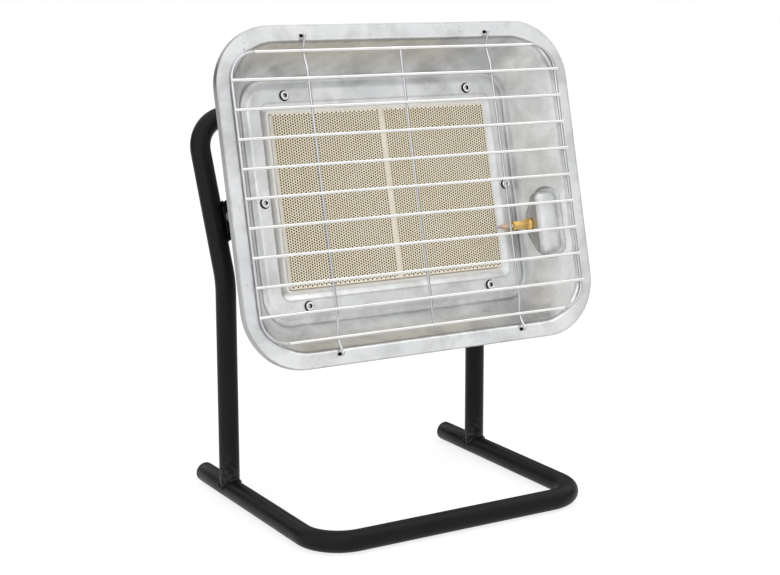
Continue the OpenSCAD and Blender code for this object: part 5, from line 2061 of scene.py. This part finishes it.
    def casing(self) -> Piece:
        """The pressed casing, from its floor round the seal to its ribbed back."""
        a, b = self.case_a, self.case_b
        seal_a, seal_b = self.tile_w + self.joint / 2 + 2.0, self.tile_h / 2 + 2.0
        turns = [(seal_a, seal_b, 3.0, 47.5), (seal_a, seal_b, 3.0, 46.5), (103.45, 74.95, 7.95, 46.5),
                 (103.45, 74.95, 7.95, 39.9), (111.0, 82.5, 14.0, 39.9), (111.0, 82.5, 14.0, 40.9),
                 (104.45, 75.95, 8.95, 40.9), (104.45, 75.95, 8.95, 47.5), (a, b, 8.0, 47.5),
                 (a, b, 8.0, 81.0), (a - 14, b - 14, 5.0, 81.0), (a - 15.2, b - 15.2, 4.4, 79.8),
                 (a - 19, b - 19, 3.0, 79.8), (a - 20.2, b - 20.2, 2.6, 81.0), (a - 40, b - 40, 2.0, 81.0)]
        reaches = [0, 0.4, 1.0, 0.5, 0.3, 0.3, 0.8, 0.6, 0.8, 3.6, 0.7, 0.7, 0.7, 0.7, 0]
        run = rounded([Vector(t) for t in turns], reaches, 3)
        casing = loft("burner_case", [slab_loop(*s, corner=8) for s in run], Ends.LAST)
        edit_all(casing, outward)
        Reflector.face_forward(casing, Vector((0, 1, 0)), 0.99)
        hole = place(lathe("hole", ((10.1, -6.0), (10.1, 6.0)), 40),
                     at(a, self.mixer_y, self.mixer_z) @ X_AXIS)
        cut(casing, [hole])
        return smooth(place(casing, self.heater.head()), 35)

    def mixing_tube(self) -> Piece:
        """The mixing tube with its fixing collar and bell mouth."""
        r = 10.0
        profile = [Vector(p) for p in ((r - 1, -60.0), (r, -60.0), (r, 100.1), (14.0, 100.1), (14.0, 101.6),
                                       (r, 101.6), (r, 103.4), (11.0, 105.6), (12.0, 108.0), (11.2, 108.0),
                                       (r - 0.4, 105.4), (r - 1, 103.2))]
        run = rounded(profile, [0, 0, 0.5, 0.4, 0.4, 0.5, 1.0, 0.6, 0.25, 0.25, 1.0, 0], 3)
        tube = loft("mixing_pipe", [round_loop(p.x, p.y, 56) for p in run], Ends.RING)
        spot = self.heater.in_head(0, self.mixer_y, self.mixer_z, X_AXIS)
        return smooth(place(tube, spot), 35)

    def cage(self) -> Piece:
        """The injector's cage with its four air windows."""
        bore, wall, start, end = 12.1, 1.2, 105.5, 122.0
        profile = [(bore, start), (bore + wall, start), (bore + wall, end - 0.8), (bore + wall - 0.8, end),
                   (4.05, end), (4.05, end - 2.0), (bore - 0.4, end - 2.0), (bore, end - 2.4)]
        body = lathe("injector_holder", profile, 64, ends=Ends.RING)
        air_window = ((-4.5, 110.3), (-3.8, 109.5), (3.8, 109.5), (4.5, 110.3),
                      (4.5, 117.7), (3.8, 118.5), (-3.8, 118.5), (-4.5, 117.7))
        cutters = []
        for angle in (45, 135, 225, 315):
            cutter = loft("window", [[Vector((x, y, z)) for y, z in air_window] for x in (6.0, 18.0)])
            cutters.append(place(cutter, turned(angle + 90, "Z")))
        cut(body, cutters)
        bevel(body, 0.2, 2, 50)
        return smooth(place(body, self.heater.in_head(0, self.mixer_y, self.mixer_z, X_AXIS)), 35)

    def injector(self) -> Piece:
        """The brass jet inside the cage."""
        face = 119.9
        nut = hex_nut("hex", 10.0, face - 4.0, face)
        nozzle = lathe("nozzle", ((0.5, face - 8.5), (0.55, face - 9.9), (0.8, face - 10.0),
                                  (1.9, face - 10.0), (2.1, face - 9.6), (3.9, face - 4.2),
                                  (3.9, face - 3.9), (0.3, face - 3.9)), 40)
        stem = lathe("stem", ((0.4, face - 0.1), (3.98, face - 0.1), (3.98, face + 9.5), (2.2, face + 10.0),
                              (2.0, face + 9.8), (2.0, face + 4.0), (0.3, face + 4.0)), 40)
        jet = join("gas_jet", [nut, nozzle, stem])
        return smooth(place(jet, self.heater.in_head(0, self.mixer_y, self.mixer_z, X_AXIS)), 35)


@dataclass
class Guard(Assembly):
    """The wire guard across the reflector's mouth.

    Attributes:
        half_w: Half the ring's width between wire centres.
        half_h: Half the ring's height between wire centres.
        corner: The ring's corner radius.
        wire_r: Radius of the ring's and crosswires' wire.
        stay_r: Radius of the uprights' wire.
        ring_y: Depth of the ring.
        cross_y: Depth of the crosswires.
        stay_y: Depth of the uprights.
        dip_y: Depth to which the hooked uprights dip behind the ring.
        rise: How far the guard's middle lies above the reflector's.
        pitch: Distance from one crosswire to the next.
        over: How far the crosswires run past the ring.
    """

    half_w: float = 140.5
    half_h: float = 104.75
    corner: float = 20.0
    wire_r: float = 1.2
    stay_r: float = 1.0
    ring_y: float = -1.5
    cross_y: float = -3.95
    stay_y: float = -1.7
    dip_y: float = 0.75
    rise: float = 0.5
    pitch: float = 21.1
    over: float = 2.0

    def build(self) -> None:
        """Builds the guard."""
        h = self.heater
        h.finish(self.ring(), "head", ["guard_ring"], "guard", "shaded_upright")
        h.finish(self.crosswires(), "head", ["guard_crosswires"], "guard")
        # The uprights take the darker, shaded copy of the plating: painted shade.
        h.finish(self.hook_wires(), "head", ["guard_hook_wires"], "shaded_upright")
        h.finish(self.centre_wire(), "head", ["guard_centre_wire"], "shaded_upright")
        h.finish(self.weld_spots(), "head", [], "guard")

    def heights(self) -> list[float]:
        """Heights of the nine crosswires."""
        return [self.rise + (k - 4) * self.pitch for k in range(9)]

    def ring(self) -> Piece:
        """The closed ring with its round corners and butt weld."""
        loop = slab_loop(self.half_w, self.half_h, self.corner, self.ring_y, 12, (16, 12))
        path = [Vector((p.x, p.y, p.z + self.rise)) for p in loop]
        radii = [self.wire_r] * len(path)
        butt = 12 + 8
        for k, swell in ((-1, 1.02), (0, 1.14), (1, 1.02)):
            radii[butt + k] = self.wire_r * swell
        rings = tube_loops(path, radii, 20, closed=True)
        ring = loft("guard_frame", rings, Ends.RING)
        bend_x = (self.half_w - self.corner) * MM
        # The ring's upright sides and corners take the darker, shaded copy of the plating: painted shade.
        self.heater.finishes.mark(ring, ("guard", "shaded_upright"), lambda face: int(abs(face.center.x) > bend_x))
        return smooth(place(ring, self.heater.head()), 60)

    def crosswires(self) -> Piece:
        """The nine crosswires, each with its own faint bow."""
        wires = []
        reach = self.half_w + self.over
        for k, z in enumerate(self.heights()):
            path = []
            for n in range(19):
                x = -reach + 2 * reach * n / 18
                bow = 0.22 * math.sin(k * 2.1 + 0.7) * (1 - (x / reach) ** 2) + 0.07 * math.sin(x * 0.05 + k)
                path.append(Vector((x, self.cross_y + 0.1 * math.sin(x * 0.041 + 2 * k), z + bow)))
            wires.append(wire("cross", path, self.wire_r))
        return place(join("guard_cross_rods", wires), self.heater.head())

    def half_hook(self, sign: int) -> list[Vector]:
        """The bent end of an upright.

        Args:
            sign: 1 for the upper end, -1 for the lower one.

        Returns:
            Its corners, from the middle outwards.
        """
        ring_z = self.rise + sign * self.half_h
        run = ((self.stay_y, ring_z - sign * 14), (self.dip_y, ring_z - sign * 5),
               (self.dip_y, ring_z + sign * 3.2), (self.stay_y + 0.3, sign * (self.heater.hook_z - 4.6)),
               (-5.0, sign * self.heater.hook_z), (5.0, sign * self.heater.hook_z))
        return [Vector((0, y, z)) for y, z in run]

    def hook_wires(self) -> Piece:
        """The two uprights that hook into the flange."""
        corners = list(reversed(self.half_hook(-1))) + self.half_hook(1)
        run = refined(rounded(corners, 3.2, 6), 12)
        wires = []
        for side in (-1, 1):
            path = [Vector((side * self.heater.stay_gap + 0.15 * math.sin(p.z * 0.04 + side), p.y,
                            p.z)) for p in run]
            wires.append(wire("shaded_upright", path, self.stay_r, 18))
        return place(join("guard_hook_rods", wires), self.heater.head())

    def centre_wire(self) -> Piece:
        """The middle upright, between the ring's top and bottom."""
        reach = self.half_h - self.wire_r - 0.05
        path = [Vector((0.2 * math.sin(k * 0.5), self.stay_y, self.rise - reach + 2 * reach * k / 16))
                for k in range(17)]
        return place(wire("guard_middle_rod", path, self.stay_r, 18), self.heater.head())

    def weld_spots(self) -> Piece:
        """Resistance-weld nuggets where wires cross."""
        spots: list[tuple[float, float, float]] = []
        for z in self.heights():
            for x in (-self.heater.stay_gap, 0.0, self.heater.stay_gap):
                spots.append((x, (self.cross_y + self.stay_y) / 2, z))
            for x in (-self.half_w, self.half_w):
                spots.append((x, (self.cross_y + self.ring_y) / 2, z))
        for z in (self.rise + self.half_h, self.rise - self.half_h):
            for x in (-self.heater.stay_gap, self.heater.stay_gap):
                spots.append((x, (self.ring_y + self.dip_y) / 2, z))
        nuggets = []
        for x, y, z in spots:
            bpy.ops.object.select_all(action="DESELECT")
            bpy.ops.mesh.primitive_uv_sphere_add(segments=12, ring_count=8, radius=1.0 * MM)
            nugget = bpy.context.object
            nuggets.append(place(nugget, at(x, y, z) @ Matrix.Diagonal((1.35, 0.75, 1.35, 1.0))))
        return smooth(place(join("guard_weld_spots", nuggets), self.heater.head()), 80)


@dataclass
class Valve(Assembly):
    """The flame-failure valve, its button and its fittings.

    Attributes:
        x: Place of its centre line across the heater.
        depth: Distance of that line behind the rim.
        bottom: Lower end of the body.
        top: Upper end of the body.
        inlet_z: Height of the inlet.
        outlet_z: Height of the outlet.
        r: Radius of the body.
        seat: Height of the poppet's seat.
        travel: Travel of the button.
    """

    x: float = 138.0
    depth: float = 67.0
    bottom: float = -68.0
    top: float = -26.0
    inlet_z: float = -38.0
    outlet_z: float = -56.0
    r: float = 12.0
    seat: float = -49.05
    travel: float = 5.0

    def spot(self, turn: Matrix | None = None, z: float = 0.0) -> Matrix:
        """A place on the valve's centre line."""
        return self.heater.in_head(self.x, self.depth, z, turn)

    def build(self) -> None:
        """Builds the valve."""
        h = self.heater
        h.finish(self.body(), "head", ["valve_body"], "brass")
        h.finish(self.collar(), "head", ["button_collar"], "collar")
        h.finish(self.button(), "button", ["push_button"], "button")
        h.finish(self.cap(), "head", ["magnet_housing"], "brass")
        h.finish(self.inlet(), "head", ["gas_inlet"], "brass")
        h.finish(self.lead_nut(), "head", ["lead_nut"], "brass")
        h.keep("stem_seal", "rubber")
        h.keep("button_spring", "spring")
        h.keep("valve_poppet", "poppet")
        h.keep("poppet_spring", "spring")
        h.keep("magnet_unit", "spring")

    def body(self) -> Piece:
        """The turned body with its two bosses."""
        r, low, high = self.r, self.bottom, self.top
        profile = [(2.9, low), (r - 1.0, low), (r, low + 1.0), (r, low + 5.0), (r - 0.6, low + 5.6),
                   (r - 0.6, low + 7.0), (r, low + 7.6), (r, high - 6.0), (r - 0.6, high - 5.4),
                   (r - 0.6, high - 4.2), (r, high - 3.6), (r, high - 0.8), (r - 0.8, high), (8.6, high),
                   (8.2, high - 0.5), (8.2, self.seat), (2.9, self.seat)]
        loops = [round_loop(p.x, p.y, 64) for p in rounded([Vector(q) for q in profile], 0.25, 2)]
        barrel = place(loft("barrel", loops, Ends.RING), self.spot())
        inlet = lathe("boss", ((2.0, 8.8), (8.0, 8.8), (8.0, 15.3), (7.5, 16.0), (5.1, 16.0), (5.1, 13.0),
                               (0.3, 13.0)), 56)
        place(inlet, self.spot(Y_AXIS, self.inlet_z))
        outlet = lathe("boss", ((2.0, 6.0), (7.0, 6.0), (7.0, 15.3), (6.5, 15.9), (4.1, 15.9), (4.1, 13.0),
                                (0.3, 13.0)), 56)
        place(outlet, self.spot(MINUS_X, self.outlet_z))
        return smooth(join("valve_barrel", [barrel, inlet, outlet]), 35)

    def collar(self) -> Piece:
        """The ribbed collar round the button."""
        outer, bore = 10.25, 7.05
        low, high = self.bottom - 12.0, self.bottom - 0.1

        def ribbed(turn: float, height: float) -> float:
            """Radius with soft ribs between the collar's plain ends."""
            inside = min(1.0, max(0.0, min(height - low - 1.2, high - 1.6 - height) / 0.5))
            return outer - 0.45 * inside * (0.5 + 0.5 * math.cos(turn * 28)) ** 3

        heights = [low + 0.5, low + 1.2, low + 1.7, low + 4.0, low + 7.0, high - 2.1, high - 1.6, high - 0.6]
        loops = rings(168, (bore + 1.15, low), (outer - 0.6, low))
        loops += [shaped_loop(ribbed, z, 168) for z in heights]
        loops += rings(168, (outer - 0.5, high), (bore + 0.3, high), (bore, high - 0.3), (bore, low + 1.0),
                       (bore + 1.15, low + 0.9))
        return smooth(place(loft("button_guide", loops, Ends.RING), self.spot()), 35)

    def button(self) -> Piece:
        """The push button, a crowned cup on its stem."""
        top = self.bottom - self.travel - 0.3
        base = top - 13.0
        profile = [(0.3, base + 3.2), (2.5, base + 3.2), (5.3, base + 3.2), (5.4, base + 3.5),
                   (5.4, top - 0.1), (5.6, top), (6.8, top), (6.97, top - 0.3), (6.97, base + 1.9),
                   (6.8, base + 1.2), (6.3, base + 0.7), (5.2, base + 0.42), (4.6, base + 0.36),
                   (4.2, base + 0.62), (3.0, base + 0.7), (1.5, base + 0.66), (0.3, base + 0.64)]
        cup = lathe("cup", profile, 64)
        stem = lathe("stem", ((0.3, base + 3.0), (2.5, base + 3.0), (2.5, -49.7), (2.1, -49.3),
                              (0.3, -49.3)), 32)
        return smooth(place(join("red_push_button", [cup, stem]), self.spot()), 35)

    def cap(self) -> Piece:
        """The hexagon cap over the magnet."""
        low = self.top + 0.1
        nut = hex_nut("cap", 21.0, low, low + 9.0)
        neck = threaded(4.0, 1.0, 0.45)
        loops = [round_loop(3.0, low + 8.5, 48)]
        loops += [round_loop(4.0, low + 8.8, 48)]
        loops += [shaped_loop(neck, low + 9.2 + THREAD_STEP * k, 48) for k in range(34)]
        loops += rings(48, (3.3, low + 13.8), (2.4, low + 13.9))
        skirt = lathe("skirt", ((2.0, low - 4.0), (8.1, low - 4.0), (8.1, low + 0.4), (2.0, low + 0.4)), 48)
        return smooth(place(join("magnet_cap", [nut, loft("neck", loops), skirt]), self.spot()), 35)

    def inlet(self) -> Piece:
        """The inlet: a hexagon and a left-hand thread round a cone seat."""
        face = self.r + 4.1
        nut = hex_nut("hex", 17.0, face, face + 6.0)
        ridge = threaded(6.58, GAS_PITCH, 0.85, left_handed=True)
        start = face + 6.0
        loops = rings(64, (4.0, start - 0.4), (5.6, start - 0.2), (5.6, start + 1.0))
        count = int((12.0 - 1.8) / (GAS_PITCH / 8))
        loops += [shaped_loop(ridge, start + 1.2 + k * GAS_PITCH / 8, 64) for k in range(count)]
        loops += rings(64, (5.6, start + 11.7), (5.2, start + 12.0), (2.9, start + 9.5), (2.8, start + 4.0),
                       (0.3, start + 3.9))
        shank = lathe("shank", ((2.0, face - 8.0), (5.0, face - 8.0), (5.0, face + 0.2), (2.0, face + 0.2)),
                      40)
        piece = join("gas_inlet_fitting", [nut, loft("thread", loops), shank])
        return smooth(place(piece, self.spot(Y_AXIS, self.inlet_z)), 32)

    def lead_nut(self) -> Piece:
        """The nut that holds the lead's end in the magnet cap."""
        low = self.top + 9.2
        return smooth(place(hex_nut("lead_end_nut", 11.0, low, low + 8.0, 1.4), self.spot()), 35)


@dataclass
class Thermocouple(Assembly):
    """Probe, brass nut, locknut and copper lead.

    Attributes:
        face: Flat face of the dome.
        y: Depth of the probe.
        z: Height of the probe.
        tip: Place of the probe's tip across the heater.
        sheath: Radius of the probe.
    """

    face: float = 116.4
    y: float = 24.4
    z: float = -35.0
    tip: float = 83.0
    sheath: float = 1.8

    def spot(self) -> Matrix:
        """The probe's frame, with Z across the heater."""
        return self.heater.in_head(0, self.y, self.z, X_AXIS)

    def build(self) -> None:
        """Builds the thermocouple."""
        h = self.heater
        h.finish(self.nut(), "head", ["thermocouple_nut"], "brass")
        h.finish(self.locknut(), "head", ["thermocouple_locknut"], "brass")
        h.finish(self.probe(), "head", ["thermocouple_probe"], "probe")
        h.finish(self.lead(), "head", ["thermocouple_lead"], "copper")

    def nut(self) -> Piece:
        """Flanged nut with a long hexagon."""
        base = self.face - 0.1
        bore = self.sheath + 0.1
        flange = [(bore, base - 3.6), (3.4, base - 3.6), (3.5, base - 3.1), (4.5, base - 2.7),
                  (4.9, base - 2.3), (5.15, base - 1.6), (5.2, base - 0.7), (5.05, base - 0.2), (4.6, base),
                  (bore, base)]
        disc = lathe("flange", flange, 56, ends=Ends.RING)
        body = hex_nut("hex", 6.6, base - 16.9, base - 3.3, bore, 72)
        groove = threaded(4.0, 1.0, 0.4)
        loops = rings(48, (bore, base - 0.5), (4.0, base - 0.4))
        loops += [shaped_loop(groove, base + THREAD_STEP * k, 48) for k in range(66)]
        loops += rings(48, (3.4, base + 9.0), (bore, base + 9.0))
        thread = loft("thread", loops, Ends.RING)
        return smooth(place(join("probe_flange_nut", [disc, body, thread]), self.spot()), 35)

    def locknut(self) -> Piece:
        """Locknut behind the dome."""
        low = self.face + 0.9
        return smooth(place(hex_nut("probe_locknut", 11.0, low, low + 4.0, 4.05), self.spot()), 35)

    def probe(self) -> Piece:
        """Stepped sheath with a welded tip."""
        t, r = self.tip, self.sheath
        profile = [(0.2, t), (0.6, t + 0.05), (0.95, t + 0.35), (1.15, t + 0.9), (1.2, t + 1.6),
                   (1.1, t + 2.1), (1.15, t + 5.6), (1.3, t + 5.8), (r - 0.15, t + 6.4), (r, t + 6.8),
                   (r, t + 12.0), (r - 0.15, t + 12.3), (r, t + 12.6), (r, self.face + 8.6),
                   (r - 0.4, self.face + 9.0), (0.3, self.face + 9.0)]
        return smooth(place(lathe("probe_sheath", profile, 40), self.spot()), 35)

    def lead(self) -> Piece:
        """Copper lead from the probe to the valve."""
        tail = self.face + 9.0
        corners = [(tail + 0.3, self.y, self.z), (134, 26, -35), (143, 30, -32), (147, 42, -20), (146, 57, 0),
                   (142, 65, 10), (138, 67, 6), (138, 67, -11.5)]
        path = spread([Vector(c) for c in corners], 70)
        ferrule = lathe("ferrule", ((0.3, tail), (2.1, tail), (2.2, tail + 0.3), (2.2, tail + 3.4),
                                    (1.8, tail + 3.9), (1.4, tail + 4.1), (0.3, tail + 4.1)), 28)
        place(ferrule, at(0, self.y, self.z) @ X_AXIS)
        run = wire("lead", path, 1.3, 16)
        return smooth(place(join("copper_lead", [run, ferrule]), self.heater.head()), 50)


# ---------------------------------------------------------------- studio


@dataclass
class Studio:
    """Floor, light and camera.

    Attributes:
        azimuth: Where the camera stands round the heater, in degrees.
        elevation: Its height angle in degrees.
        distance: Its distance in metres.
        target: The point that it is aimed at, in metres.
        lens: Focal length in millimetres on a 36 mm wide sensor.
        shift: Shift of the frame in widths.
        wings: Directions of the studio's two dark wings.
        wing_level: How bright those wings are.
        lamps: Name, place, side in metres and power in watts of each lamp.
        glow: Strength of the floor's own light where it is seen.
        glow_share: Share of that light in the floor's look.
        floor_grey: Grey level of the floor's matt part.
    """

    azimuth: float = -30.9678
    elevation: float = 10.3942
    distance: float = 1.29988
    target: tuple[float, float, float] = (0.046219, 0.05124, 0.171354)
    lens: float = 72.784
    shift: tuple[float, float] = (-0.01947, -0.0285)
    wings: tuple[tuple[float, float, float], ...] = ((0.98, -0.19, 0.0), (0.60, 0.80, 0.0),
                                                     (-0.60, 0.80, 0.0))
    wing_level: float = 0.04
    lamps: tuple[tuple[str, tuple[float, float, float], float, float], ...] = (
        ("key", (-1.2, -1.6, 1.9), 2.2, 15.0), ("fill", (1.7, -0.3, 1.8), 2.0, 6.5),
        ("top", (0.3, -0.2, 2.4), 2.2, 12.0), ("side", (-2.1, 0.0, 0.7), 1.7, 6.0))
    glow: float = 1.12
    glow_share: float = 0.7
    floor_grey: float = 0.93

    def camera(self) -> None:
        """Sets up the camera."""
        a, e = math.radians(self.azimuth), math.radians(self.elevation)
        back = Vector((math.sin(a) * math.cos(e), -math.cos(a) * math.cos(e), math.sin(e)))
        right = Vector((math.cos(a), math.sin(a), 0))
        up = back.cross(right)
        data = bpy.data.cameras.new("camera")
        data.lens = self.lens
        data.sensor_width = 36.0
        data.sensor_fit = "HORIZONTAL"
        data.shift_x, data.shift_y = self.shift
        data.clip_start, data.clip_end = 0.05, 50.0
        camera = bpy.data.objects.new("camera", data)
        turn = Matrix((right, up, back)).transposed().to_4x4()
        camera.matrix_world = Matrix.Translation(Vector(self.target) + back * self.distance) @ turn
        bpy.context.scene.collection.objects.link(camera)
        bpy.context.scene.camera = camera

    def floor(self) -> None:
        """A wide pale floor that keeps the heater's shadow."""
        bpy.ops.object.select_all(action="DESELECT")
        bpy.ops.mesh.primitive_plane_add(size=24.0, location=(0, 0, -0.0002))
        plane = bpy.context.object
        plane.name = "floor"
        material = bpy.data.materials.new("floor")
        material.use_nodes = True
        material.node_tree.nodes.clear()
        w = Wiring(material.node_tree)
        matt = w.add("ShaderNodeBsdfDiffuse", {"Color": colour(self.floor_grey)})
        glow = w.add("ShaderNodeEmission", {"Color": colour(1.0), "Strength": self.glow})
        path = w.add("ShaderNodeLightPath")
        seen = w.seen(path)
        share = w.times(seen, self.glow_share)
        mix = w.add("ShaderNodeMixShader", {0: share, 1: matt.outputs[0], 2: glow.outputs[0]})
        output = w.add("ShaderNodeOutputMaterial")
        material.node_tree.links.new(mix.outputs[0], output.inputs[0])
        plane.data.materials.append(material)

    def world(self) -> None:
        """A pale world, white where it is seen, with a darker wing at each side for metal to mirror."""
        world = bpy.data.worlds.new("studio")
        bpy.context.scene.world = world
        world.use_nodes = True
        world.node_tree.nodes.clear()
        w = Wiring(world.node_tree)
        path = w.add("ShaderNodeLightPath")
        seen = w.seen(path)
        ray = w.add("ShaderNodeTexCoord").outputs["Generated"]
        sideways = [w.add("ShaderNodeVectorMath", {0: ray, 1: way}, operation="DOT_PRODUCT").outputs["Value"]
                    for way in self.wings]
        height = w.add("ShaderNodeSeparateXYZ", {"Vector": ray}).outputs["Z"]
        nearest = w.maths("MAXIMUM", sideways[0], w.maths("MAXIMUM", *sideways[1:]))
        wing = w.remap(nearest, 0.82, 0.94)
        low = w.remap(w.maths("ABSOLUTE", height), 0.35, 0.6, 1.0, 0.0)
        dark = w.times(w.times(wing, low), path.outputs["Is Glossy Ray"])
        level = w.remap(seen, 0.0, 1.0, 0.78, 1.0)
        strength = w.times(level, w.remap(dark, 0.0, 1.0, 1.0, self.wing_level))
        light = w.add("ShaderNodeBackground", {"Color": colour(1.0), "Strength": strength})
        output = w.add("ShaderNodeOutputWorld")
        world.node_tree.links.new(light.outputs[0], output.inputs[0])

    def lamp(self, name: str, where: tuple[float, float, float], size: float, power: float) -> None:
        """A square soft lamp aimed at the heater.

        Args:
            name: Its name.
            where: Its place in metres.
            size: Its side in metres.
            power: Its power in watts.
        """
        data = bpy.data.lights.new(name, "AREA")
        data.shape = "SQUARE"
        data.size = size
        data.energy = power
        lamp = bpy.data.objects.new(name, data)
        direction = Vector(self.target) - Vector(where)
        turn = direction.to_track_quat("-Z", "Y").to_matrix().to_4x4()
        lamp.matrix_world = Matrix.Translation(where) @ turn
        bpy.context.scene.collection.objects.link(lamp)

    def build(self) -> None:
        """Sets up the studio."""
        bpy.context.scene.view_settings.view_transform = "Standard"
        self.camera()
        self.floor()
        self.world()
        for name, where, size, power in self.lamps:
            self.lamp(name, where, size, power)


def main() -> None:
    """Builds every sub-assembly in order."""
    logging.basicConfig(level=logging.INFO, format="%(message)s")
    Studio().build()
    heater = Heater()
    for part in (Stand(heater), TiltMount(heater), Reflector(heater), Burner(heater), Guard(heater),
                 Valve(heater), Thermocouple(heater)):
        LOG.info("building %s", type(part).__name__)
        part.build()


if __name__ == "__main__":
    main()
